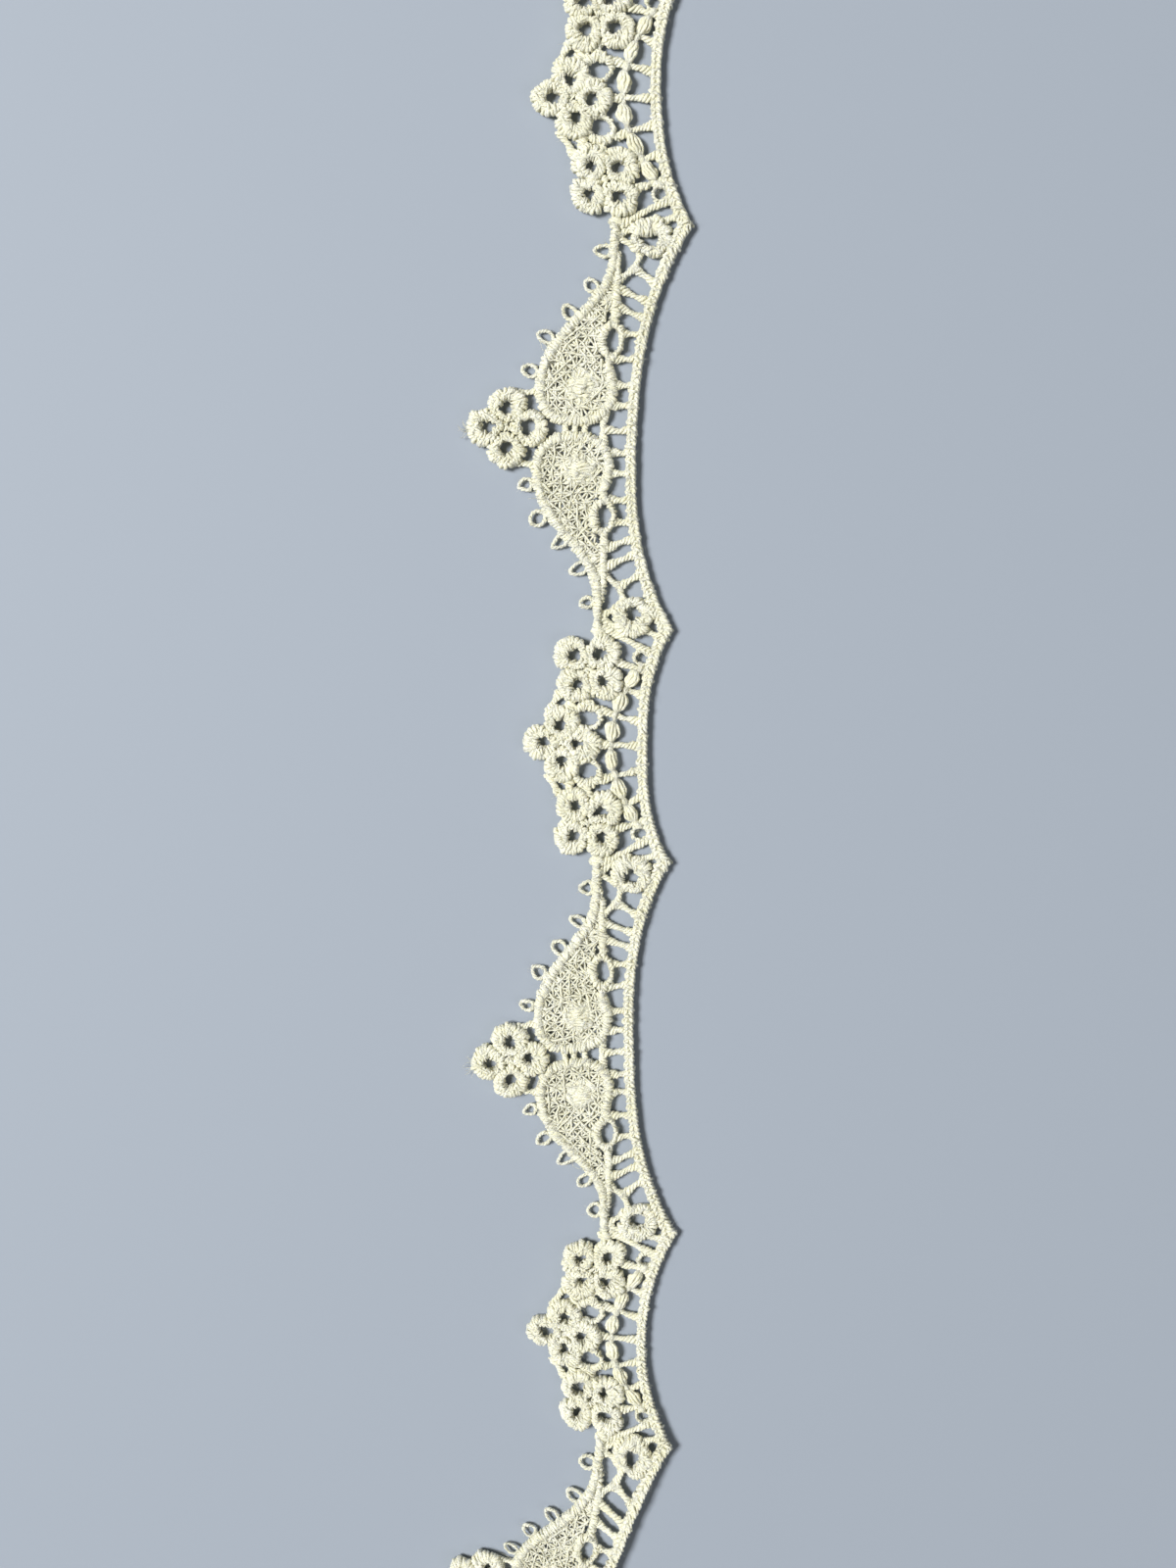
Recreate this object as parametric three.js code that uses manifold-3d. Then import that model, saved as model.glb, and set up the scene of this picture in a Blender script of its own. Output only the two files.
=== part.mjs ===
// Guipure lace edging: a cut length of three repeats, lying face up.
//
// The edging is one stitched piece. Heavy thread is sewn on a ground that is washed away, so every cord,
// petal, bar and bead runs into the next. Each figure here is a flat-backed plate with sloping shoulders.
// The figures are drawn flat, one half repeat at a time, joined into one solid and then laid along the
// edging's course.
//
// +Y runs along the edging, the header (its sewing edge) is on the +X side, and +Z is the face. The origin
// is on the back of the header at the middle flower group.

import * as THREE from 'three';
import Module from 'manifold-3d';

// Driving dimensions, in millimetres. Along the edging, u counts from the middle of a teardrop pair and g
// from the middle of a flower group. Across it, v counts outwards from the line through the header's
// corners.
const PAIR_HALF = 19.9;
const GROUP_HALF = 11.95;
const HALF_REPEAT = PAIR_HALF + GROUP_HALF;
const GROUP_CENTRES = [2, 0, -2].map((halves) => halves * HALF_REPEAT);
const PAIR_CENTRES = [1, -1, -3].map((halves) => halves * HALF_REPEAT);

const HEADER = { width: 1.05, point: 0.8, pairSteps: 12, groupSteps: 8 };
const BOW = { pair: 4.3, group: 2.3, power: 2.6 }; // the header's scallops, from its corner line
const HEIGHT = { header: 1.3, bar: 1.0, net: 1.0, rim: 1.3, dot: 1.5, petal: 1.5, bead: 1.35, rosette: 1.4 };
const WIDTH = { bar: 0.55, brace: 0.5, chain: 0.5, link: 0.6, tail: 1.0 };
const SHOULDER = { cord: 0.12, plate: 0.3, petal: 0.3, picot: 0.08 };
const MITER_LIMIT = 0.6; // keeps the shoulder at a sharp corner from running too far in
const BITE = 0.4; // how far the end of a bar runs into what it joins
const TRIM = 0.02; // steps smaller than this are smoothed out of the joined solid

// Teardrop: a squarish round head, then its edges at stations towards the tail. The net starts at netInner
// and ends one rim width inside the outer edge.
const HEAD = { u: 4.4, v: 10.05, radius: 4.15, squareness: 2.7, steps: 9 };
const RIM = 1.2;
const TEARDROP = [
  { u: 4.4, outer: 14.2, inner: 5.9, netInner: 7.1 },
  { u: 6.3, outer: 13.85, inner: 6.5, netInner: 7.6 },
  { u: 7.3, outer: 13.35, inner: 5.9, netInner: 8.2 },
  { u: 8.7, outer: 12.55, inner: 5.45, netInner: 8.4 },
  { u: 10.1, outer: 11.35, inner: 5.9, netInner: 8.1 },
  { u: 11.4, outer: 10.2, inner: 6.1, netInner: 7.5 },
  { u: 12.6, outer: 9.2, inner: 6.1, netInner: 7.2 },
  { u: 13.9, outer: 8.3, inner: 6.05 },
  { u: 15.6, outer: 7.65, inner: 6.15 },
  { u: 17.4, outer: 7.35, inner: 6.4 },
  { u: 19.9, outer: 7.3, inner: 6.45 },
];
const EYELET = { u: 8.7, v: 6.9, radiusU: 1.05, radiusV: 0.6, sides: 8 };
const DOT = { u: 4.1, v: 9.4, radius: 1.7, sides: 9 };

// Bars from the inner edge of a teardrop to the header.
const LADDER = [
  { tearU: 2.3, headU: 2.3 },
  { tearU: 4.35, headU: 4.4 },
  { tearU: 6.9, headU: 7.0 },
  { tearU: 9.3, headU: 9.2 },
  { tearU: 11.9, headU: 10.8 },
  { tearU: 13.7, headU: 12.3 },
];
// Links across the slit between the two heads of a pair.
const HEAD_LINKS = [
  { v: 11.1, reach: 1.1 },
  { v: 8.9, reach: 1.0 },
  { v: 7.1, reach: 1.5 },
];
// The Y-shaped bar and the braces round the rosette inside each header corner.
const ROSETTE = { u: 18.8, v: 3.4, radius: 1.9, holeU: 18.35, holeRadius: 0.6, sides: 9, holeSides: 5 };
const CORNER_BARS = [
  { fromU: 14.5, fromV: 6.5, toU: 15.6, toV: 4.9 },
  { fromU: 15.6, fromV: 4.9, toU: 14.1, toV: 2.7 },
  { fromU: 15.4, fromV: 4.95, toU: 17.5, toV: 4.3 },
  { fromU: 18.9, fromV: 6.9, toU: 17.5, toV: 4.6 },
  { fromU: 18.7, fromV: 6.9, toU: 20.1, toV: 4.3 },
  { fromU: 17.3, fromV: 2.6, toU: 16.9, toV: 1.4 },
  { fromU: 20.0, fromV: 2.4, toU: 20.7, toV: 0.6 },
];
const PICOT = { length: 1.0, breadth: 0.8, holeLength: 0.52, holeBreadth: 0.36, sides: 6, holeSides: 4 };
const PICOTS = [
  { u: 5.6, v: 14.8, lean: 75 },
  { u: 8.95, v: 13.4, lean: 53 },
  { u: 11.3, v: 11.15, lean: 49 },
  { u: 13.9, v: 9.1, lean: 62 },
  { u: 17.3, v: 8.1, lean: 84 },
];

// Flowers of four ringed petals. A tip flower sits on the middle of each pair, one stands at the middle of
// each group, and one leans on either side of that.
const PETAL = { sides: 5, holeRadius: 0.52, holeSides: 5 };
const TIP_FLOWER = { u: 0, v: 16.75, turn: 0, reach: 1.95, radius: 1.98 };
const MIDDLE_FLOWER = { u: 0, v: 10.5, turn: 0, reach: 1.92, radius: 1.95 };
const SIDE_FLOWER = { u: 7.85, v: 8.0, turn: 50, reach: 1.9, radius: 1.88 };
const TIP_LINK = { fromU: 3.3, fromV: 16.0, toU: 3.7, toV: 13.6 };
// A small thread ring on either side of the middle flower.
const LOOP = { u: 2.7, v: 7.9, radiusU: 1.25, radiusV: 1.5, sides: 8 };
const LOOP_HOLE = { radiusU: 0.65, radiusV: 0.9, sides: 5 };

// Bars of a flower group: between its flowers, and from the flowers through the bead chain to the header.
const GROUP_BARS = [
  { fromG: 5.3, fromV: 10.7, toG: 3.1, toV: 11.9 },
  { fromG: 5.2, fromV: 7.9, toG: 3.2, toV: 7.9, width: 2.8 },
  { fromG: 3.1, fromV: 6.9, toG: 2.1, toV: 2.3 },
  { fromG: 6.1, fromV: 5.2, toG: 4.7, toV: 2.0 },
  { fromG: 8.5, fromV: 5.0, toG: 7.2, toV: 1.5 },
  { fromG: 11.95, fromV: 6.6, toG: 9.0, toV: 1.2 },
  { fromG: 11.95, fromV: 6.8, toG: 9.6, toV: 7.0, width: WIDTH.tail },
];
const MIDDLE_BAR = { fromV: 7.0, toV: 2.3 };
// The bead chain drops away from the flowers as a parabola.
const CHAIN = { v: 5.5, drop: 0.045, end: 9.1, steps: 6 };
const BEAD = { stations: [1.35, 4.1, 6.65], length: 0.9, breadth: 0.7, sides: 7 };

// How the edging lies, a row for each corner and middle: how far it strays to the right and slips towards
// +Y, how many degrees its motifs lean round towards +Y, and how high its header stands.
const COURSE = [
  { y: 95.55, stray: 0.2, slip: 0, lean: 0, rise: 0 },
  { y: 75.65, stray: 0.95, slip: 0, lean: 0, rise: 0 },
  { y: 63.7, stray: 1.1, slip: 0, lean: 0, rise: 0 },
  { y: 51.75, stray: 1.75, slip: 0, lean: 1, rise: 0 },
  { y: 31.85, stray: 0.85, slip: 0, lean: 0.8, rise: 0 },
  { y: 11.95, stray: 0.05, slip: 0, lean: 1, rise: 0 },
  { y: 0, stray: 0, slip: 0, lean: 2.4, rise: 0 },
  { y: -11.95, stray: -0.05, slip: 0, lean: -0.5, rise: 0 },
  { y: -31.85, stray: 0.75, slip: 0, lean: -4.4, rise: 0 },
  { y: -51.75, stray: 0.8, slip: 0, lean: 0, rise: 0 },
  { y: -63.7, stray: 0.1, slip: 0, lean: 6.7, rise: 0 },
  { y: -75.65, stray: 0.4, slip: 0.5, lean: 6.2, rise: 0.4 },
  { y: -86, stray: -1.25, slip: -1.95, lean: 17.5, rise: 1.3 },
  { y: -95.55, stray: -3.5, slip: -1.25, lean: 23.5, rise: 1.4 },
  { y: -115.5, stray: -5.8, slip: -1.65, lean: 11.5, rise: 0.2 },
  { y: -135, stray: -8, slip: -1.65, lean: 6, rise: 0 },
];
const RISE_FADES_AT = 7.0; // how far out from the corner line the header's rise has died away

const wasm = await Module();
wasm.setup();

// A spot finder for one half of a pair or group: its own u and v become a point of the flat drawing.
function half(centre, side) {
  return (u, v) => new THREE.Vector2(BOW.group - v, centre + side * u);
}

// How far the header's middle line stands out from its corner line, u from the middle of a span.
function headerBow(u, span, bow) {
  return bow * (1 - Math.abs(u / span) ** BOW.power);
}

function oval(spot, u, v, radiusU, radiusV, sides, turn = 0) {
  const lean = THREE.MathUtils.degToRad(turn);
  return Array.from({ length: sides }, (_, i) => {
    const angle = (i / sides) * Math.PI * 2;
    const along = radiusU * Math.cos(angle);
    const across = radiusV * Math.sin(angle);
    return spot(
      u + along * Math.cos(lean) - across * Math.sin(lean),
      v + along * Math.sin(lean) + across * Math.cos(lean),
    );
  });
}

// The loop moved sideways by a distance at each point, to the left of its own direction.
function inset(loop, distance) {
  return loop.map((point, i) => {
    const before = loop[(i + loop.length - 1) % loop.length];
    const after = loop[(i + 1) % loop.length];
    const into = point.clone().sub(before).normalize();
    const out = after.clone().sub(point).normalize();
    const bisector = into.clone().add(out).normalize();
    const miter = Math.max(bisector.dot(out), MITER_LIMIT);
    return new THREE.Vector2(-bisector.y, bisector.x).multiplyScalar(distance / miter).add(point);
  });
}

// A stitched figure: a plate on the back plane whose edges, those of its holes too, slope in towards its
// face.
function stitched(outline, holes, height, shoulder) {
  const loops = [outline, ...holes].map((loop, i) => {
    const runsClockwise = THREE.ShapeUtils.isClockWise(loop);
    const wantsClockwise = i > 0;
    return runsClockwise === wantsClockwise ? loop : [...loop].reverse();
  });
  const back = loops.flat();
  const face = loops.flatMap((loop) => inset(loop, shoulder));
  const count = back.length;
  const caps = THREE.ShapeUtils.triangulateShape(loops[0], loops.slice(1));
  const triangles = caps.flatMap(([a, b, c]) => [c, b, a, a + count, b + count, c + count]);
  let first = 0;
  for (const loop of loops) {
    loop.forEach((_, i) => {
      const a = first + i;
      const b = first + ((i + 1) % loop.length);
      triangles.push(a, b, b + count, a, b + count, a + count);
    });
    first += loop.length;
  }
  const points = [...back.flatMap((p) => [p.x, p.y, 0]), ...face.flatMap((p) => [p.x, p.y, height])];
  const mesh = new wasm.Mesh({
    numProp: 3,
    vertProperties: new Float32Array(points),
    triVerts: new Uint32Array(triangles),
  });
  return new wasm.Manifold(mesh);
}

// The outline of a cord of even width along a path of points.
function cordOutline(path, width) {
  const sides = [1, -1].map((side) =>
    path.map((point, i) => {
      const before = path[Math.max(i - 1, 0)];
      const after = path[Math.min(i + 1, path.length - 1)];
      const along = after.clone().sub(before).normalize();
      return new THREE.Vector2(-along.y, along.x).multiplyScalar((side * width) / 2).add(point);
    }),
  );
  return [...sides[0], ...sides[1].reverse()];
}

function bar(from, to, width = WIDTH.bar) {
  return stitched(cordOutline([from, to], width), [], HEIGHT.bar, SHOULDER.cord);
}

// The header runs the whole length: a scallop over each group and each pair, with a small point at each
// corner.
function header() {
  const spans = GROUP_CENTRES.flatMap((centre, i) => [
    { centre, span: GROUP_HALF, bow: BOW.group, steps: HEADER.groupSteps },
    { centre: PAIR_CENTRES[i], span: PAIR_HALF, bow: BOW.pair, steps: HEADER.pairSteps },
  ]);
  const middle = [];
  for (const { centre, span, bow, steps } of spans) {
    const spot = half(centre, -1);
    for (let i = 0; i < steps; i += 1) {
      const u = span * ((2 * i) / steps - 1);
      middle.push({ point: spot(u, headerBow(u, span, bow)), corner: i === 0 });
    }
  }
  middle.push({ point: half(PAIR_CENTRES.at(-1), -1)(PAIR_HALF, 0), corner: true });
  const edge = (side) =>
    middle.map(({ point, corner }, i) => {
      const before = middle[Math.max(i - 1, 0)].point;
      const after = middle[Math.min(i + 1, middle.length - 1)].point;
      const along = after.clone().sub(before).normalize();
      const reach = corner && side > 0 ? HEADER.point : HEADER.width / 2;
      return new THREE.Vector2(-along.y, along.x).multiplyScalar(side * reach).add(point);
    });
  return stitched([...edge(1), ...edge(-1).reverse()], [], HEIGHT.header, SHOULDER.plate);
}

// The inner edge of a teardrop at a station u, where the ladder bars join it.
function tearInner(u) {
  if (u <= HEAD.u) {
    const part = Math.abs((u - HEAD.u) / HEAD.radius) ** HEAD.squareness;
    return HEAD.v - HEAD.radius * (1 - part) ** (1 / HEAD.squareness);
  }
  const next = TEARDROP.findIndex((row) => row.u >= u);
  const [low, high] = [TEARDROP[next - 1], TEARDROP[next]];
  return THREE.MathUtils.mapLinear(u, low.u, high.u, low.inner, high.inner);
}

// The round end of a teardrop's head, from its inner to its outer side.
function headArc(spot, radius) {
  const power = 2 / HEAD.squareness;
  return Array.from({ length: HEAD.steps - 1 }, (_, i) => {
    const angle = ((i + 1) / HEAD.steps) * Math.PI;
    const along = Math.sin(angle) ** power;
    const across = -Math.sign(Math.cos(angle)) * Math.abs(Math.cos(angle)) ** power;
    return spot(HEAD.u - radius * along, HEAD.v + radius * across);
  });
}

function teardrop(spot) {
  const netted = TEARDROP.filter((row) => row.netInner);
  const outline = [
    ...headArc(spot, HEAD.radius),
    ...TEARDROP.map((row) => spot(row.u, row.outer)),
    ...TEARDROP.map((row) => spot(row.u, row.inner)).reverse(),
  ];
  const window = (margin) => [
    ...headArc(spot, HEAD.radius - RIM + margin),
    ...netted.map((row) => spot(row.u + margin, row.outer - RIM + margin)),
    ...netted.map((row) => spot(row.u + margin, row.netInner - margin)).reverse(),
  ];
  const eyelet = oval(spot, EYELET.u, EYELET.v, EYELET.radiusU, EYELET.radiusV, EYELET.sides);
  const dot = oval(spot, DOT.u, DOT.v, DOT.radius, DOT.radius, DOT.sides);
  return [
    stitched(outline, [window(0), eyelet], HEIGHT.rim, SHOULDER.cord),
    stitched(window(BITE / 2), [], HEIGHT.net, SHOULDER.picot),
    stitched(dot, [], HEIGHT.dot, SHOULDER.plate),
  ];
}

function ladder(spot) {
  return LADDER.map(({ tearU, headU }) =>
    bar(spot(tearU, tearInner(tearU) + BITE), spot(headU, headerBow(headU, PAIR_HALF, BOW.pair))),
  );
}

function corner(spot) {
  const { u, v, radius, holeU, holeRadius, sides, holeSides } = ROSETTE;
  const ring = oval(spot, u, v, radius, radius, sides);
  const hole = oval(spot, holeU, v, holeRadius, holeRadius, holeSides);
  const bars = CORNER_BARS.map((row) =>
    bar(spot(row.fromU, row.fromV), spot(row.toU, row.toV), WIDTH.brace),
  );
  return [stitched(ring, [hole], HEIGHT.rosette, SHOULDER.plate), ...bars];
}

function picots(spot) {
  const { length, breadth, holeLength, holeBreadth, sides, holeSides } = PICOT;
  return PICOTS.map(({ u, v, lean }) => {
    const loop = oval(spot, u, v, length, breadth, sides, lean);
    const hole = oval(spot, u, v, holeLength, holeBreadth, holeSides, lean);
    return stitched(loop, [hole], HEIGHT.bar, SHOULDER.picot);
  });
}

// Four petals in a cross: half rounds that meet in notches, each with a hole.
function flower(spot, { u, v, turn, reach, radius }) {
  const quarter = Math.PI / 2;
  const petals = [0, 1, 2, 3].map((i) => THREE.MathUtils.degToRad(turn) + i * quarter);
  const outline = petals.flatMap((heading) =>
    Array.from({ length: PETAL.sides }, (_, i) => {
      const angle = heading + quarter * ((2 * i) / PETAL.sides - 1);
      return spot(
        u + reach * Math.cos(heading) + radius * Math.cos(angle),
        v + reach * Math.sin(heading) + radius * Math.sin(angle),
      );
    }),
  );
  const holes = petals.map((heading) =>
    oval(
      spot,
      u + reach * Math.cos(heading),
      v + reach * Math.sin(heading),
      PETAL.holeRadius,
      PETAL.holeRadius,
      PETAL.holeSides,
    ),
  );
  return stitched(outline, holes, HEIGHT.petal, SHOULDER.petal);
}

function chainAt(g) {
  return CHAIN.v - CHAIN.drop * g * g;
}

function beadChain(spot) {
  const path = Array.from({ length: CHAIN.steps + 1 }, (_, i) => {
    const g = (i / CHAIN.steps) * CHAIN.end;
    return spot(g, chainAt(g));
  });
  const beads = BEAD.stations.map((g) => {
    const lean = THREE.MathUtils.radToDeg(Math.atan(-2 * CHAIN.drop * g));
    const outline = oval(spot, g, chainAt(g), BEAD.length, BEAD.breadth, BEAD.sides, lean);
    return stitched(outline, [], HEIGHT.bead, SHOULDER.plate);
  });
  return [stitched(cordOutline(path, WIDTH.chain), [], HEIGHT.bar, SHOULDER.cord), ...beads];
}

function pairHalf(spot) {
  const { fromU, fromV, toU, toV } = TIP_LINK;
  const link = bar(spot(fromU, fromV), spot(toU, toV), WIDTH.link);
  return [...teardrop(spot), ...ladder(spot), ...corner(spot), ...picots(spot), link];
}

function pairMiddle(spot) {
  const links = HEAD_LINKS.map(({ v, reach }) => bar(spot(-reach, v), spot(reach, v), WIDTH.link));
  const middle = bar(spot(0, HEAD_LINKS.at(-1).v), spot(0, BOW.pair));
  return [...links, middle, flower(spot, TIP_FLOWER)];
}

function groupHalf(spot) {
  const loop = oval(spot, LOOP.u, LOOP.v, LOOP.radiusU, LOOP.radiusV, LOOP.sides);
  const loopHole = oval(spot, LOOP.u, LOOP.v, LOOP_HOLE.radiusU, LOOP_HOLE.radiusV, LOOP_HOLE.sides);
  const bars = GROUP_BARS.map((row) => bar(spot(row.fromG, row.fromV), spot(row.toG, row.toV), row.width));
  const ring = stitched(loop, [loopHole], HEIGHT.bar, SHOULDER.cord);
  return [flower(spot, SIDE_FLOWER), ring, ...bars, ...beadChain(spot)];
}

function groupMiddle(spot) {
  return [flower(spot, MIDDLE_FLOWER), bar(spot(0, MIDDLE_BAR.fromV), spot(0, MIDDLE_BAR.toV))];
}

// The course's value at a station, on a smooth curve through the table's rows.
function courseAt(key, y) {
  const last = COURSE.length - 2;
  const i = THREE.MathUtils.clamp(COURSE.findIndex((row) => row.y <= y) - 1, 1, last - 1);
  const slope = (k) => (COURSE[k + 1][key] - COURSE[k - 1][key]) / (COURSE[k + 1].y - COURSE[k - 1].y);
  const [a, b] = [COURSE[i], COURSE[i + 1]];
  const step = b.y - a.y;
  const t = (y - a.y) / step;
  const ease = t * t * (3 - 2 * t);
  return a[key] * (1 - ease) + b[key] * ease + step * t * (1 - t) * ((1 - t) * slope(i) - t * slope(i + 1));
}

// Lays a point of the flat drawing along the course.
function lay(point) {
  const lean = THREE.MathUtils.degToRad(courseAt('lean', point.y));
  const out = BOW.group - point.x;
  const fade = 1 - THREE.MathUtils.smoothstep(out, 0, RISE_FADES_AT);
  const rise = Math.max(courseAt('rise', point.y), 0) * fade;
  return new THREE.Vector3(
    courseAt('stray', point.y) + point.x * Math.cos(lean),
    point.y + courseAt('slip', point.y) - point.x * Math.sin(lean),
    point.z + rise,
  );
}

function laceEdging() {
  const figures = [header()];
  for (const centre of PAIR_CENTRES) {
    const [up, down] = [half(centre, 1), half(centre, -1)];
    figures.push(...pairMiddle(up), ...pairHalf(up), ...pairHalf(down));
  }
  for (const centre of GROUP_CENTRES) {
    const [up, down] = [half(centre, 1), half(centre, -1)];
    figures.push(...groupMiddle(up), ...groupHalf(up), ...groupHalf(down));
  }
  const whole = figures.reduce((sum, figure) => sum.add(figure));
  const joined = whole.asOriginal().simplify(TRIM).getMesh();
  const points = [];
  for (let i = 0; i < joined.vertProperties.length; i += joined.numProp) {
    points.push(lay(new THREE.Vector3().fromArray(joined.vertProperties, i)));
  }
  const geometry = new THREE.BufferGeometry().setFromPoints(points);
  geometry.setIndex(Array.from(joined.triVerts));
  geometry.computeVertexNormals();
  return geometry;
}

const ivoryThread = new THREE.MeshStandardMaterial({ color: 0xe6e3cb, roughness: 0.8, metalness: 0 });
const edging = new THREE.Mesh(laceEdging(), ivoryThread);
edging.name = 'lace_edging';

const part = new THREE.Group();
part.add(edging);

export default part;
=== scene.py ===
# %% [markdown]
# # A guipure lace edging
#
# Guipure is embroidered on a ground that is washed away afterwards, so nothing is left but thread. A machine
# first lays a padding of plain running stitches, then covers it: satin stitch is wound over petals and rims,
# bars are twisted, and a net of crossing threads fills the teardrops. This lesson makes the lace in the same
# order and from the same kinds of stitch. Everything is drawn flat first, in millimetres, and laid along the
# edging's course at the end.

# %% Load the solid that the lace stands for
from dataclasses import dataclass
from functools import partial
from math import atan, cos, pi, radians, sin, sqrt, tau

import bmesh
import bpy
import numpy as np
from mathutils import Matrix, Vector


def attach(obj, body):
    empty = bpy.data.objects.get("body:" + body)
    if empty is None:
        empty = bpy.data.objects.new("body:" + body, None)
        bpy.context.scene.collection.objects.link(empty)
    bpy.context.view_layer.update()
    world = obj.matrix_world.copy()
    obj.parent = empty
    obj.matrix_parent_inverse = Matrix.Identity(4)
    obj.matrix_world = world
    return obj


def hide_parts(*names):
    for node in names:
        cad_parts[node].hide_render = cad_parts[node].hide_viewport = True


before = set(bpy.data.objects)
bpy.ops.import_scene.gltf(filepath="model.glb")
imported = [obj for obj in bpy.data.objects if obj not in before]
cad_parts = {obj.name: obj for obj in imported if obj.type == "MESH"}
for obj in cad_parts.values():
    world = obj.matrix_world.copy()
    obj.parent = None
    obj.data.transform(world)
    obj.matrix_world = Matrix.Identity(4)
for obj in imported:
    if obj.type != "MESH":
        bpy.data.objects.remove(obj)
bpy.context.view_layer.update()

MM = 0.001

# %% [markdown]
# ## The chart
#
# A lace designer works on a chart of one repeat. Here u runs along the edging from the middle of a teardrop
# pair, or of a flower group, and v runs outwards from the line through the header's corners. Half a repeat is
# charted and mirrored. A line of the chart carries the size of what is sewn along it: half its width, half
# its height, and the height of its middle over the table.

# %% The chart's repeat and its lines
PAIR_HALF, GROUP_HALF = 19.9, 11.95
HALF_REPEAT = PAIR_HALF + GROUP_HALF
GROUPS = [2 * HALF_REPEAT, 0, -2 * HALF_REPEAT]
PAIRS = [HALF_REPEAT, -HALF_REPEAT, -3 * HALF_REPEAT]
PAIR_BOW, GROUP_BOW, BOW_POWER = 4.3, 2.3, 2.6
SIZES = ("wide", "high", "level", "stout")
rng = np.random.default_rng(11)


@dataclass
class Line:
    """A line of the chart, in mm, and the half width, half height and level of what is sewn along it, and how
    stout its thread is."""
    points: np.ndarray
    wide: object = 0.3
    high: object = 0.3
    level: object = 0.5
    stout: object = 1.0
    closed: bool = False


def placed(lines, centre, side):
    """The same lines in the flat drawing, for the half of a repeat on that side of its centre."""
    turned = []
    for line in lines:
        sizes = [np.broadcast_to(getattr(line, size), len(line.points)) for size in SIZES]
        rows = np.column_stack([GROUP_BOW - line.points[:, 1], centre + side * line.points[:, 0], *sizes])
        rows = rows[::side]   # so that a mirrored ring still runs the same way round
        turned.append(Line(rows[:, :2], *rows[:, 2:].T, line.closed))
    return turned


def everywhere(lines_of, centres, sides=(1, -1)):
    """Charts the lines afresh for each half repeat, so that no two halves are quite the same."""
    return [line for centre in centres for side in sides for line in placed(lines_of(), centre, side)]


print("repeat, mm:", 2 * HALF_REPEAT, "halves:", 2 * (len(GROUPS) + len(PAIRS)))

# %% [markdown]
# ## The course
#
# The edging doesn't lie dead straight. For corners and middles of a repeat, a table gives how far the strip
# strays to the side and slips along itself, how many degrees its motifs lean, and how high the header stands
# off the table. A smooth curve through the rows lays every point, by the same rule as the solid's.

# %% How the edging lies
COURSE = np.array([
    # y, stray, slip, lean, rise
    (95.55, 0.2, 0, 0, 0),
    (75.65, 0.95, 0, 0, 0),
    (63.7, 1.1, 0, 0, 0),
    (51.75, 1.75, 0, 1, 0),
    (31.85, 0.85, 0, 0.8, 0),
    (11.95, 0.05, 0, 1, 0),
    (0, 0, 0, 2.4, 0),
    (-11.95, -0.05, 0, -0.5, 0),
    (-31.85, 0.75, 0, -4.4, 0),
    (-51.75, 0.8, 0, 0, 0),
    (-63.7, 0.1, 0, 6.7, 0),
    (-75.65, 0.4, 0.5, 6.2, 0.4),
    (-86, -1.25, -1.95, 17.5, 1.3),
    (-95.55, -3.5, -1.25, 23.5, 1.4),
    (-115.5, -5.8, -1.65, 11.5, 0.2),
    (-135, -8, -1.65, 6, 0),
])
RISE_FADES_AT = 7.0


def course_at(y):
    """Stray, slip, lean and rise at each y, on smooth curves through the table's rows."""
    stations, rows = COURSE[:, 0], COURSE[:, 1:]
    i = np.clip(np.searchsorted(-stations, -y, side="left") - 1, 1, len(COURSE) - 3)
    slope = np.zeros_like(rows)
    slope[1:-1] = (rows[2:] - rows[:-2]) / (stations[2:] - stations[:-2])[:, None]
    step = (stations[i + 1] - stations[i])[:, None]
    t = (y - stations[i])[:, None] / step
    ease = t * t * (3 - 2 * t)
    bend = step * t * (1 - t) * ((1 - t) * slope[i] - t * slope[i + 1])
    return (rows[i] * (1 - ease) + rows[i + 1] * ease + bend).T


def lay(flat):
    """Lays points of the flat drawing, in mm, along the course, and returns them in metres."""
    stray, slip, lean, rise = course_at(flat[:, 1])
    lean = np.radians(lean)
    out = np.clip((GROUP_BOW - flat[:, 0]) / RISE_FADES_AT, 0, 1)
    fade = 1 - out * out * (3 - 2 * out)
    x = stray + flat[:, 0] * np.cos(lean)
    y = flat[:, 1] + slip - flat[:, 0] * np.sin(lean)
    z = np.maximum(flat[:, 2], 0) + np.maximum(rise, 0) * fade
    return np.column_stack([x, y, z]) * MM


CORNERS_Y = [centre + side * GROUP_HALF for centre in GROUPS for side in (1, -1)]
corners = lay(np.array([(GROUP_BOW, y, 0) for y in CORNERS_Y]))
print("header corners, mm:", np.round(corners[:, :2] / MM, 1).tolist())

# %% [markdown]
# ## The thread
#
# The thread is bleached cotton with a short staple: matt, a warm ivory, with a soft glow where light grazes
# its loose fibres. Its colour wanders a little from stitch to stitch. Four plies slant round it and fine
# fibres run along them, both as bumps. The stitches carry two attributes for that: how far along the thread a
# point is, and where round the thread it lies.

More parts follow.
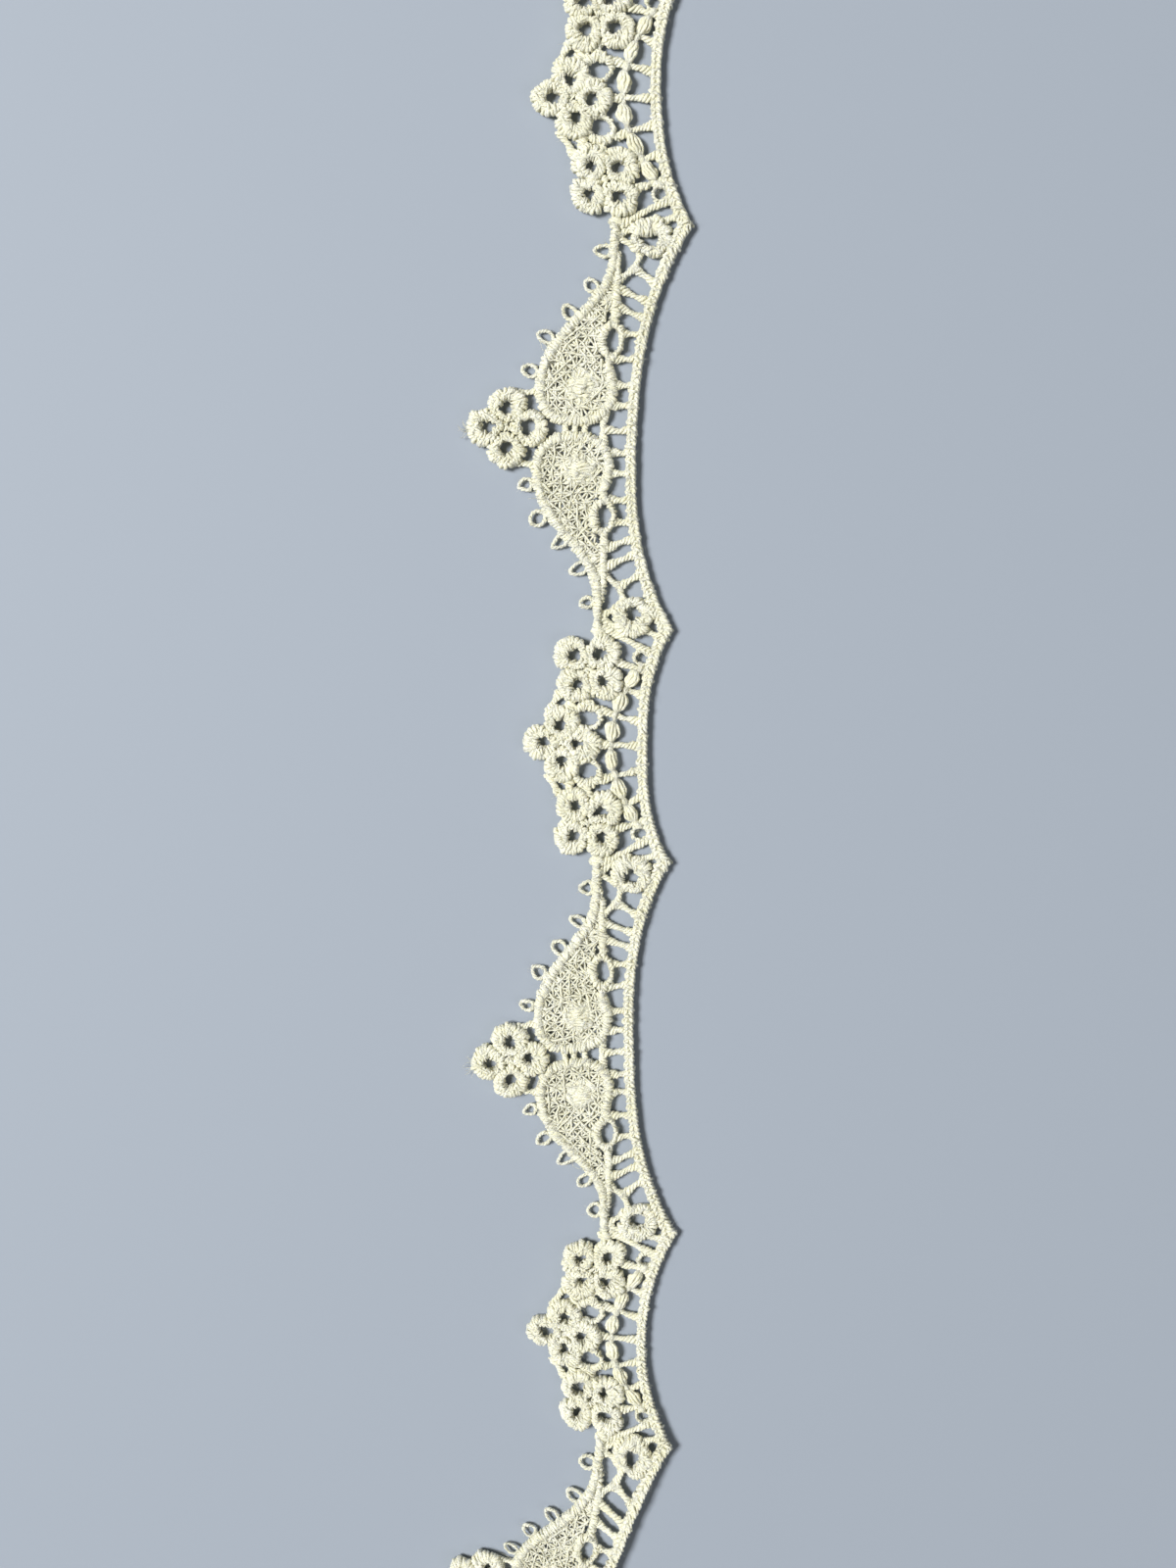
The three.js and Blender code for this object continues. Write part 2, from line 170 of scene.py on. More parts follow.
# %% Ivory cotton thread
MATH, VECTOR, COMBINE = "ShaderNodeMath", "ShaderNodeVectorMath", "ShaderNodeCombineXYZ"
NOISE, ATTRIBUTE = "ShaderNodeTexNoise", "ShaderNodeAttribute"
PLIES, TWIST_MM = 4, 1.0   # plies, and the length in which one goes once round
FIBRE_MM, FIBRES_ROUND = 0.5, 5.0   # how long a fibre shows, and how fine fibres are round the thread
MOTTLE_MM, STITCH_MM = 3.0, 0.35   # patches in the bleach, and the change from stitch to stitch
SHADES = {0.38: "#E1DDBD", 0.62: "#F8F5DD"}
PLY_SHARE, BUMP_STRENGTH, BUMP_MM = 0.4, 0.8, 0.05
LIGHT_REACH_MM = 0.4   # how far light passes into the loose cotton
COTTON = {
    "Subsurface Weight": 0.5, "Subsurface Radius": (1.0, 0.9, 0.7), "Subsurface Scale": LIGHT_REACH_MM * MM,
    "Roughness": 0.75, "IOR": 1.53, "Sheen Weight": 0.25, "Sheen Roughness": 0.45,
}


def linear(hex_colour):
    """An sRGB hex colour as linear red, green, blue and alpha."""
    channels = [int(hex_colour[i:i + 2], 16) / 255 for i in (1, 3, 5)]
    return [c / 12.92 if c <= 0.04045 else ((c + 0.055) / 1.055) ** 2.4 for c in channels] + [1]


def add(tree, kind, sockets=(), operation=None, **settings):
    """Adds a node, sets its settings, and fills its sockets, by place or by name, with values or with links.
    A node given for a socket stands for its first output."""
    node = tree.nodes.new(kind)
    if operation:
        node.operation = operation
    for name, setting in settings.items():
        setattr(node, name, setting)
    for key, source in sockets.items() if isinstance(sockets, dict) else enumerate(sockets):
        if isinstance(source, bpy.types.Node):
            source = source.outputs[0]
        if isinstance(source, bpy.types.NodeSocket):
            tree.links.new(source, node.inputs[key])
        else:
            node.inputs[key].default_value = source
    return node


def surface(name, settings):
    """A new material, and the sockets of its shader with these settings."""
    material = bpy.data.materials.new(name)
    material.use_nodes = True
    shader = material.node_tree.nodes["Principled BSDF"].inputs
    for socket, setting in settings.items():
        shader[socket].default_value = setting
    return material, shader


def ivory_cotton():
    material, shader = surface("ivory_cotton_thread", COTTON)
    tree = material.node_tree
    put = partial(add, tree)
    place = put("ShaderNodeTexCoord").outputs["Object"]
    along = put(ATTRIBUTE, attribute_name="along").outputs["Fac"]
    about = put(ATTRIBUTE, attribute_name="round").outputs["Vector"]
    part = put("ShaderNodeSeparateXYZ", [about]).outputs
    heading = put(MATH, [part["Y"], part["X"]], "ARCTAN2")
    slant = put(MATH, [along, tau * PLIES / TWIST_MM], "MULTIPLY")
    phase = put(MATH, [heading, float(PLIES), slant], "MULTIPLY_ADD")
    ply = put(MATH, [phase], "SINE")
    stretch = put(MATH, [along, 1 / FIBRE_MM], "MULTIPLY")
    fine = put(VECTOR, {0: about, "Scale": FIBRES_ROUND}, "SCALE")
    streak = put(VECTOR, [fine, put(COMBINE, {"Z": stretch})], "ADD")
    fibre = put(NOISE, {"Vector": streak, "Scale": 1.0, "Detail": 3.0})
    mottle = put(NOISE, {"Vector": place, "Scale": 1 / (MOTTLE_MM * MM), "Detail": 2.0})
    stitch = put(NOISE, {"Vector": place, "Scale": 1 / (STITCH_MM * MM), "Detail": 1.0})
    shade = put(MATH, [mottle, stitch], "ADD")
    shade = put(MATH, [shade, fibre], "ADD")
    shade = put(MATH, [shade, 1 / 3], "MULTIPLY")
    ramp = put("ShaderNodeValToRGB", [shade])
    for stop, (share, colour) in zip(ramp.color_ramp.elements, SHADES.items()):
        stop.position, stop.color = share, linear(colour)
    height = put(MATH, [ply, PLY_SHARE, fibre], "MULTIPLY_ADD")
    bump = put("ShaderNodeBump", {"Height": height, "Strength": BUMP_STRENGTH, "Distance": BUMP_MM * MM})
    tree.links.new(ramp.outputs["Color"], shader["Base Color"])
    tree.links.new(bump.outputs["Normal"], shader["Normal"])
    return material


THREAD = ivory_cotton()
print("material:", THREAD.name, "nodes:", len(THREAD.node_tree.nodes))

# %% [markdown]
# ## Four ways to sew along a line
#
# Geometry Nodes do the sewing, because every figure repeats one of four stitches along a line of the chart:
# padding is a plain sausage, a laid thread just lies there, satin is a thread wound over the padding, and a
# cord is two or three plies wound round each other. The trees take the chart's lines as a mesh of edges and
# end alike: the thread wanders a little, swells here and there, and gets its round section and its material.
# Numbers inside the trees are millimetres.

# %% The chart's lines as a mesh of edges
CARRIED = (*SIZES, "strand")


def guide(name, lines):
    """A mesh of edges along the lines, with each line's sizes and its number as attributes of its points."""
    points, edges, carried = [], [], {key: [] for key in CARRIED}
    for strand, line in enumerate(lines):
        count, first = len(line.points), sum(map(len, points))
        points.append(np.column_stack([line.points, np.zeros(count)]))
        edges += [(first + i, first + (i + 1) % count) for i in range(count if line.closed else count - 1)]
        for key, values in carried.items():
            size = strand if key == "strand" else getattr(line, key)
            values.append(np.broadcast_to(np.array(size, float), count))
    mesh = bpy.data.meshes.new(name)
    mesh.from_pydata(np.vstack(points), edges, [])
    for key, values in carried.items():
        mesh.attributes.new(key, "FLOAT", "POINT").data.foreach_set("value", np.concatenate(values))
    return mesh


print("a line's points carry:", *CARRIED)

# %% How the trees begin and end
CARRY, STORE = "GeometryNodeInputNamedAttribute", "GeometryNodeStoreNamedAttribute"
MOVE, SWEEP, PLACE = "GeometryNodeSetPosition", "GeometryNodeCurveToMesh", "GeometryNodeInputPosition"


def stitch_tree(name, **sizes):
    """A function that puts nodes into a new tree, and what the tree is given: lines, named sizes, and at each
    point of a line what it carries, the direction ahead along the line, and the level direction across it."""
    tree = bpy.data.node_groups.new(name, "GeometryNodeTree")
    tree.interface.new_socket("Lines", in_out="INPUT", socket_type="NodeSocketGeometry")
    tree.interface.new_socket("Stitches", in_out="OUTPUT", socket_type="NodeSocketGeometry")
    for label, size in sizes.items():
        kind = "NodeSocketInt" if isinstance(size, int) else "NodeSocketFloat"
        tree.interface.new_socket(label, in_out="INPUT", socket_type=kind).default_value = size
    put = partial(add, tree)
    given = dict(put("NodeGroupInput").outputs.items())
    given |= {key: put(CARRY, {"Name": key}) for key in CARRIED}
    given["ahead"] = put("GeometryNodeInputTangent")
    across = put(VECTOR, [given["ahead"], (0, 0, 1)], "CROSS_PRODUCT")
    given["across"] = put(VECTOR, [across], "NORMALIZE")
    return put, given


def swept(put, given, curve, thick):
    """A thread of round section along a curve. Its points remember where round the thread they lie."""
    circle = put("GeometryNodeCurvePrimitiveCircle", {"Resolution": given["Sides"], "Radius": 1.0})
    circle = put(STORE, {0: circle, "Name": "round", "Value": put(PLACE)}, data_type="FLOAT_VECTOR")
    return put(SWEEP, {"Curve": curve, "Profile Curve": circle, "Scale": thick, "Fill Caps": True})


def dressed(put, mesh):
    """Smooth faces, real geometry and the thread's material: the end of every tree."""
    mesh = put("GeometryNodeSetShadeSmooth", [mesh])
    mesh = put("GeometryNodeRealizeInstances", [mesh])
    mesh = put("GeometryNodeSetMaterial", {0: mesh, "Material": THREAD})
    put("NodeGroupOutput", {"Stitches": mesh})
    tree = mesh.id_data   # the tree that the node is in
    print(tree.name, "has", len(tree.nodes), "nodes")
    return tree


# %% Padding: a plain sausage as wide and high as the line says
def padding_tree():
    put, given = stitch_tree("padding_stitches", Sides=6)
    curve = put("GeometryNodeMeshToCurve", [given["Lines"]])
    for key, vector in (("spine", put(PLACE)), ("across", given["across"])):
        curve = put(STORE, {0: curve, "Name": key, "Value": vector}, data_type="FLOAT_VECTOR")
    spine, across, about = (put(CARRY, {"Name": key}, data_type="FLOAT_VECTOR")
                            for key in ("spine", "across", "round"))
    part = put("ShaderNodeSeparateXYZ", [about]).outputs
    out = put(MATH, [part["X"], given["wide"]], "MULTIPLY")
    up = put(MATH, [part["Y"], given["high"], given["level"]], "MULTIPLY_ADD")
    target = put(VECTOR, [spine, put(VECTOR, {0: across, "Scale": out}, "SCALE")], "ADD")
    target = put(VECTOR, [target, put(COMBINE, {"Z": up})], "ADD")
    mesh = swept(put, given, curve, 1.0)
    return dressed(put, put(MOVE, {0: mesh, "Position": target}))


PADDING = padding_tree()

# %% Laid thread: one thread along each line
WANDER_MM, SWELL_MM = 0.8, 0.45   # over what lengths a thread wanders and swells


def stepped(put, given, step):
    """The lines as curves, with points a step apart."""
    curve = put("GeometryNodeMeshToCurve", [given["Lines"]])
    return put("GeometryNodeResampleCurve", {"Curve": curve, "Length": step}, mode="LENGTH")


def as_thread(put, given, curve, out=0.0, up=0.0, forwards=(0, 0, 0)):
    """Moves a curve's points to the side, up from their level and forwards, and lets it wander and swell."""
    level = put(MATH, [up, given["level"]], "ADD")
    sideways = put(VECTOR, {0: given["across"], "Scale": out}, "SCALE")
    offset = put(VECTOR, [sideways, put(COMBINE, {"Z": level})], "ADD")
    offset = put(VECTOR, [offset, forwards], "ADD")
    curve = put(MOVE, {0: curve, "Offset": offset})
    place = put(PLACE)
    drift = put(NOISE, {"Vector": place, "Scale": 1 / WANDER_MM, "Detail": 0.0}).outputs["Color"]
    drift = put(VECTOR, [drift, (0.5, 0.5, 0.5)], "SUBTRACT")
    drift = put(VECTOR, {0: drift, "Scale": given["Wander"]}, "SCALE")
    curve = put(MOVE, {0: curve, "Offset": drift})
    length = put("GeometryNodeSplineParameter").outputs["Length"]
    curve = put(STORE, {0: curve, "Name": "along", "Value": length})
    lumps = put(NOISE, {"Vector": place, "Scale": 1 / SWELL_MM, "Detail": 0.0})
    lumps = put(MATH, [lumps, 0.5], "SUBTRACT")
    thick = put(MATH, [lumps, given["Swell"], 1.0], "MULTIPLY_ADD")
    thick = put(MATH, [thick, given["Thread"]], "MULTIPLY")
    thick = put(MATH, [thick, given["stout"]], "MULTIPLY")
    return dressed(put, swept(put, given, curve, thick))


def laid_tree():
    put, given = stitch_tree("laid_thread", Step=0.2, Thread=0.13, Sides=5, Wander=0.12, Swell=0.5)
    return as_thread(put, given, stepped(put, given, given["Step"]))


LAID = laid_tree()

# %% Wound thread: satin over the padding, each stitch at its own slant, or the plies of a cord
RANDOM = "FunctionNodeRandomValue"
TURN_STARTS = 0.25       # a stitch runs from one dip under the padding to the next, a quarter turn early
LABELS_APART = 1000.0    # room for the stitches of one line among those of all


def wound_tree(name, **sizes):
    put, given = stitch_tree(name, **sizes)
    step = given["Step"] if "Step" in sizes else put(MATH, [given["Pitch"], given["Points"]], "DIVIDE")
    plies = {0: stepped(put, given, step), "Amount": given["Plies"]}
    plies = put("GeometryNodeDuplicateElements", plies, domain="SPLINE").outputs
    turns = put(MATH, [put("GeometryNodeSplineLength"), given["Pitch"]], "DIVIDE")
    turns = put(MATH, [turns], "ROUND")
    passed = put(MATH, [put("GeometryNodeSplineParameter"), turns], "MULTIPLY")
    stitch = put(MATH, [passed, TURN_STARTS], "ADD")
    stitch = put(MATH, [stitch], "FLOOR")
    stitch = put(MATH, [stitch, turns], "FLOORED_MODULO")
    label = put(MATH, [given["strand"], LABELS_APART, stitch], "MULTIPLY_ADD")
    luck = [put(RANDOM, {2: -1.0, 3: 1.0, "ID": label, "Seed": seed}).outputs[1] for seed in (3, 5, 8)]
    start = put(RANDOM, {2: 0.0, 3: given["Start"], "ID": given["strand"], "Seed": 7}).outputs[1]
    ply = put(MATH, [plies["Duplicate Index"], given["Plies"]], "DIVIDE")
    passed = put(MATH, [passed, given["Hand"], start], "MULTIPLY_ADD")
    passed = put(MATH, [passed, ply], "ADD")
    angle = put(MATH, [passed, tau], "MULTIPLY")
    swings = [put(MATH, [angle], wave) for wave in ("COSINE", "SINE")]
    reach = []
    for size, chance, swing in zip(("wide", "high"), luck, swings):
        inner = put(MATH, [given[size], given["Thread"]], "SUBTRACT")
        scale = put(MATH, [chance, given["Uneven"], 1.0], "MULTIPLY_ADD")
        varied = put(MATH, [inner, scale], "MULTIPLY")
        reach.append(put(MATH, [varied, swing], "MULTIPLY"))
    slant = put(MATH, [luck[2], given["Slant"]], "MULTIPLY")
    slant = put(MATH, [slant, swings[0]], "MULTIPLY")
    forwards = put(VECTOR, {0: given["ahead"], "Scale": slant}, "SCALE")
    stouter = put(MATH, [swings[0], given["Outside"], 1.0], "MULTIPLY_ADD")
    stouter = put(MATH, [stouter, given["stout"]], "MULTIPLY")
    curve = put(STORE, {0: plies["Geometry"], "Name": "stout", "Value": stouter})
    return as_thread(put, given, curve, *reach, forwards)


SATIN = wound_tree("satin_stitches", Pitch=0.3, Points=10, Plies=1, Hand=1.0, Start=0.0, Slant=0.25,
                   Uneven=0.2, Outside=0.2, Thread=0.145, Sides=4, Wander=0.45, Swell=1.2)
CORD = wound_tree("twisted_cord", Pitch=0.9, Step=0.11, Plies=2, Hand=1.0, Start=1.0, Slant=0.0, Uneven=0.0,
                  Outside=0.0, Thread=0.16, Sides=6, Wander=0.12, Swell=0.5)

# %% [markdown]
# ## The header
#
# The header is the sewing edge. A flat cord runs the whole length in shallow scallops and turns a corner
# between them. Two strands of opposite twist lie side by side round a padding, so their stitches meet in a
# row of Vs like knitting. A loose binding goes round both and makes bumps along either edge. At each corner a
# small satin point stands out.

# %% The header's lines
HEADER_STEP, STRAND_BESIDE = 0.3, 0.25
CORNER_REACH = 1.35   # how much further a line beside the middle goes to turn the corner
CORNER_SWELL, SWELL_POWER = 0.3, 4   # how much wider the header is at its corners, and how late it widens
POINT_STEPS, POINT_LEVEL = 6, 0.62
POINT_OUT, POINT_WIDE, POINT_HIGH = (0.1, 0.72), (0.62, 0.3), (0.55, 0.3)   # from its foot to its tip


def bow(u, span, depth):
    """How far the header's middle hangs from the line through its corners."""
    return depth * (1 - np.abs(u / span) ** BOW_POWER)


def header_line(beside, wide, high, level):
    """A line from top to bottom, along the header's middle or beside it towards the sewing edge."""
    scallops = [(centre, GROUP_HALF, GROUP_BOW) for centre in GROUPS]
    scallops += [(centre, PAIR_HALF, PAIR_BOW) for centre in PAIRS]
    rows = []
    for centre, span, depth in sorted(scallops, reverse=True):
        u = np.linspace(-span, span, round(2 * span / HEADER_STEP), endpoint=False)
        swell = 1 + CORNER_SWELL * np.abs(u / span) ** SWELL_POWER
        turn = np.where(u == -span, CORNER_REACH, 1.0)
        rows.append(np.column_stack([GROUP_BOW - bow(u, span, depth), centre - u, swell, turn]))
    rows = np.vstack([*rows, [(GROUP_BOW, PAIRS[-1] - PAIR_HALF, 1 + CORNER_SWELL, 1.0)]])
    points, swell, turn = rows[:, :2], rows[:, 2], rows[:, 3]
    ahead = np.gradient(points, axis=0)
    ahead /= np.linalg.norm(ahead, axis=1)[:, None]
    aside = np.column_stack([-ahead[:, 1], ahead[:, 0]])
    reach = beside * swell * turn
    return Line(points + aside * reach[:, None], wide * swell, high, level)


def corner_point(y):
    out, wide, high = (np.linspace(*ends, POINT_STEPS) for ends in (POINT_OUT, POINT_WIDE, POINT_HIGH))
    return Line(np.column_stack([GROUP_BOW + out, np.full(POINT_STEPS, y)]), wide, high, POINT_LEVEL)


# how far beside the middle, half width, half height and level
HEADER_PADDING = [header_line(0.0, 0.36, 0.42, 0.62)]
HEADER_STRANDS = [header_line(side * STRAND_BESIDE, 0.3, 0.6, 0.63) for side in (1, -1)]
HEADER_BINDING = [header_line(0.0, 0.61, 0.64, 0.64)]
POINTS = [corner_point(y) for y in CORNERS_Y[1:]]
print("header points:", len(HEADER_PADDING[0].points), "corners:", len(POINTS))

# %% [markdown]
# ## Flowers
#
# Each flower has four petals that meet in seams, and each petal is two rounds of satin stitch about a small
# open eye, with loose stitches over both. The thread is soft and its stitches slant at random, so the petals
# come out lumpy, with bumps along the outside and a ragged eye.

# %% Outlines, and bands between them
RAGGED_WAVES = (2, 3, 5)    # how many times each bump goes round an outline
ROUNDS_LAP = 0.18           # how far either of two rounds of stitches reaches past the middle of its band
LOOSE_SPAN = (0.06, 0.92)   # the share of a band that its loose stitches cross


def around(steps):
    return np.linspace(0, tau, steps, endpoint=False)


def unit(angle):
    """The direction at an angle, or a row of them."""
    return np.stack([np.cos(angle), np.sin(angle)], -1)


def oval(u, v, radius_u, radius_v, steps=40):
    return (u, v) + unit(around(steps)) * (radius_u, radius_v)


def ragged(outline, amount):
    """The outline with a few bumps of its own, as soft thread leaves it."""
    middle = outline.mean(0)
    angle = around(len(outline))
    bumps = sum(rng.normal(0, amount) * np.cos(wave * angle + rng.uniform(0, tau)) for wave in RAGGED_WAVES)
    return middle + (outline - middle) * (1 + bumps)[:, None]


def band(inside, outside, high, level, start=0.0, end=1.0):
    """A closed band between two outlines, or between two shares of the way from one to the other."""
    near, far = inside + (outside - inside) * start, inside + (outside - inside) * end
    return Line((near + far) / 2, np.linalg.norm(far - near, axis=1) / 2, high, level, closed=True)


def rounds(hole, edge, sewn, loose):
    """Two rounds of satin side by side, the outer one first, and the loose stitches that cross both."""
    return [band(hole, edge, *sewn, 0.5 - ROUNDS_LAP, 1.0), band(hole, edge, *sewn, 0.0, 0.5 + ROUNDS_LAP),
            band(hole, edge, *loose, *LOOSE_SPAN)]


print("an oval has", len(oval(0, 0, 1, 1)), "points")

# %% The flowers' petals
EYE_INWARDS, EYE_SHIFT, EYE_SPREAD, EYE_LIMITS = 0.25, 0.12, 0.2, (0.7, 1.3)
EYE_RAGGED, PETAL_RAGGED = 0.15, 0.028
SEAMS, SEAM_ROUNDING, SEAM_LAP, SEAM_LEAST = (135, 225), 7, 0.12, 0.05
PETAL_SEWN, PETAL_LOOSE = (0.74, 0.75), (0.77, 0.76)   # half height and level of the rounds, and over them
FLOWERS = {
    # u, v, turn in degrees, reach of a petal's middle, petal radius, eye radius
    "tip": (0, 16.75, 0, 2.17, 1.9, 0.5),
    "middle": (0, 10.5, 0, 2.1, 1.86, 0.5),
    "side": (7.85, 7.8, 50, 2.15, 1.88, 0.52),
}
FLOWERS_AT = {"tip": (PAIRS, (1,)), "middle": (GROUPS, (1,)), "side": (GROUPS, (1, -1))}


def in_flowers(lines_of):
    return [line for kind, at in FLOWERS_AT.items() for line in everywhere(lambda: lines_of(kind), *at)]


def petal_edge(middle, heading, reach, radius, steps=40):
    """A petal's outline: a circle round its middle, cut along the seams with its neighbours and rounded."""
    angle = around(steps)
    nearness = np.full(steps, radius ** -SEAM_ROUNDING)
    for seam in SEAMS:
        facing = np.cos(angle - heading - radians(seam)).clip(SEAM_LEAST)
        nearness += (facing / (reach * sin(pi / 4) + SEAM_LAP)) ** SEAM_ROUNDING
    edge = nearness ** (-1 / SEAM_ROUNDING)
    return middle + edge[:, None] * unit(angle)


def petals(kind):
    """For each petal its outer round, its inner round, and the loose stitches that cross both."""
    u, v, turn, reach, radius, eye = FLOWERS[kind]
    found = []
    for quarter in range(4):
        heading = radians(turn + 90 * quarter)
        outwards = unit(heading)
        middle = (u, v) + reach * outwards
        eye_middle = middle - EYE_INWARDS * outwards + rng.normal(0, EYE_SHIFT, 2)
        eye_radii = eye * rng.normal(1, EYE_SPREAD, 2).clip(*EYE_LIMITS)
        hole = ragged(oval(*eye_middle, *eye_radii), EYE_RAGGED)
        edge = ragged(petal_edge(middle, heading, reach, radius), PETAL_RAGGED)
        found += rounds(hole, edge, PETAL_SEWN, PETAL_LOOSE)
    return found


PETALS = in_flowers(petals)
print("petals:", len(PETALS) // 3)

# %% The flowers' hearts
HEART_RADIUS, HEART_LEAST, HEART_HIGH, HEART_LEVEL, HEART_STEPS = 0.58, 0.04, 0.5, 0.68, 7


def heart(kind):
    """The stitches that close the middle of a flower, where the four seams meet."""
    u, v, turn = FLOWERS[kind][:3]
    slant = radians(turn + rng.uniform(0, 180))
    along = np.linspace(-HEART_RADIUS, HEART_RADIUS, HEART_STEPS)
    half = np.sqrt(np.clip(HEART_RADIUS ** 2 - along ** 2, HEART_LEAST, None))
    return [Line((u, v) + along[:, None] * unit(slant), half, HEART_HIGH, HEART_LEVEL)]


HEARTS = in_flowers(heart)
print("flowers:", len(HEARTS))

# %% [markdown]
# ## Teardrops
#
# A pair of teardrops meets head to head under each tip flower. A satin rim runs up the outer edge, round the
# squarish head and back to an eyelet, and a second cord closes the tail. The rim's line is worked out from
# the same stations as the solid's outline.

# %% The teardrops' rims and eyelets
RIM, RIM_OVER, RIM_STEPS = 1.2, 0.88, 4   # its width, and the share of it that loose stitches cross
RIM_SEWN, RIM_LOOSE, TAIL_SEWN, WEB_SEWN = (0.58, 0.61), (0.62, 0.63), (0.52, 0.58), (0.36, 0.52)
HEAD_U, HEAD_V, HEAD_RADIUS, HEAD_SQUARENESS = 4.4, 10.05, 4.15, 2.7
TEARDROP = [
    # u, outer edge, where the net starts
    (4.4, 14.2, 7.1),
    (6.3, 13.85, 7.6),
    (7.3, 13.35, 8.2),
    (8.7, 12.55, 8.4),
    (10.1, 11.35, 8.1),
    (11.4, 10.2, 7.5),
    (12.6, 9.2, 7.2),
]
# u, v and half width of the rim along the tail and towards the eyelet, of the cord that closes the tail, and
# of the web between the two
TAIL = [(19.9, 6.9, 0.5), (17.4, 6.95, 0.52), (15.6, 7.12, 0.55), (13.9, 7.7, 0.58)]
RIM_END = [(6.2, 7.05, RIM / 2), (7.2, 6.5, 0.5)]
INNER_TAIL = [(10.3, 6.6, 0.5), (11.4, 6.65, 0.55), (12.6, 6.65, 0.55), (13.9, 6.6, 0.5), (15.6, 6.58, 0.42),
              (17.2, 6.7, 0.36)]
TAIL_WEB = [(12.4, 7.55, 0.75), (13.4, 7.3, 0.6), (14.6, 6.95, 0.4), (16.2, 6.85, 0.3)]
# a ring's hole and its edge, both as u, v and radii, and its half height and level
EYELET = ((8.65, 6.68, 1.05, 0.58), (8.7, 6.95, 1.95, 1.47), 0.56, 0.6)


def smooth(rows, steps):
    """A smooth line through rows of numbers, each row a point and any sizes that go with it."""
    rows = np.array(rows, float)
    padded = np.vstack([2 * rows[0] - rows[1], rows, 2 * rows[-1] - rows[-2]])
    share = np.linspace(0, 1, steps, endpoint=False)[:, None]
    ease = share * share * (3 - 2 * share)
    out = []
    for a, b, c, d in zip(padded, padded[1:], padded[2:], padded[3:]):
        bend = share * (1 - share) * ((1 - share) * (c - a) - share * (d - b)) / 2
        out.append(b + (c - b) * ease + bend)
    return np.vstack([*out, rows[-1:]])


def head_arc(radius, steps=14):
    """The round end of a teardrop's head, from its outer to its inner side."""
    angle = np.linspace(0, pi, steps)
    power = 2 / HEAD_SQUARENESS
    along = np.sin(angle) ** power
    across = np.sign(np.cos(angle)) * np.abs(np.cos(angle)) ** power
    return np.column_stack([HEAD_U - radius * along, HEAD_V + radius * across])


def rims():
    """A teardrop's rim, the loose stitches over it, the cord that closes its tail, and the web."""
    half = RIM / 2
    outer = [(u, v - half, half) for u, v, _ in TEARDROP]
    head = [(u, v, half) for u, v in head_arc(HEAD_RADIUS - half)[1:]]
    rim, tail, web = (smooth(rows, RIM_STEPS)
                      for rows in ([*TAIL, *outer[::-1], *head, *RIM_END], INNER_TAIL, TAIL_WEB))
    sewing = ((rim, 1.0, RIM_SEWN), (rim, RIM_OVER, RIM_LOOSE), (tail, 1.0, TAIL_SEWN), (web, 1.0, WEB_SEWN))
    return [Line(path[:, :2], path[:, 2] * share, *sewn) for path, share, sewn in sewing]


def ring(hole, edge, high, level):
    return band(oval(*hole), oval(*edge), high, level)


RIMS = everywhere(rims, PAIRS)
EYELETS = everywhere(lambda: [ring(*EYELET)], PAIRS)
print("teardrops:", len(EYELETS), "points of a rim:", len(RIMS[0].points))

# %% [markdown]
# ## The net
#
# The filling is a net of crossing threads: rows, columns and both diagonals through the same points, so each
# crossing is a small star. The crossings are pulled about a little, and the threads weave over and under
# there. Under the net lie loose threads that cross the window every way, as on the back of any embroidery.

# %% The net's window
NET_TUCK, NET_END = 0.35, (13.5, 7.4)   # how far the net goes under the rims, and where it ends in the tail


def net_window():
    """The outline of the net, tucked a little under the rims."""
    shrink = RIM - NET_TUCK
    outer = [(u, v - shrink) for u, v, _ in TEARDROP]
    inner = [(u, v - NET_TUCK) for u, _, v in TEARDROP]
    return np.vstack([outer, [NET_END], inner[::-1], head_arc(HEAD_RADIUS - shrink)[::-1]])


def clipped(path):
    """The pieces of a path of u, v and level that lie inside the window, by counting crossings, as lines."""
    x, y = path[:, :1], path[:, 1:2]
    (x0, y0), (x1, y1) = WINDOW.T[:, None], np.roll(WINDOW, -1, axis=0).T[:, None]
    straddles = (y0 > y) != (y1 > y)
    crossing = x0 + (y - y0) * (x1 - x0) / np.where(y1 == y0, 1, y1 - y0)
    inside = (straddles & (x < crossing)).sum(1) % 2
    ends = np.flatnonzero(np.diff(np.concatenate([[0], inside, [0]])))
    return [Line(path[a:b, :2], level=path[a:b, 2]) for a, b in ends.reshape(-1, 2) if b - a > 2]


WINDOW = net_window()
WINDOW_LOW, WINDOW_HIGH = WINDOW.min(0), WINDOW.max(0)
print("net window, mm:", np.round(WINDOW_HIGH - WINDOW_LOW, 1).tolist())

# %% The net's threads
NET_PITCH, NET_PULL, NET_LEVEL, NET_WEAVE, NET_STEPS = 0.87, 0.1, 0.8, 0.09, 5
NET_WAYS = [(1, 0), (0, 1), (1, 1), (1, -1)]
GROUND_THREADS, GROUND_LEVEL, GROUND_SPREAD, GROUND_REACH, GROUND_STEPS = 34, 0.3, 0.08, 6.0, 40


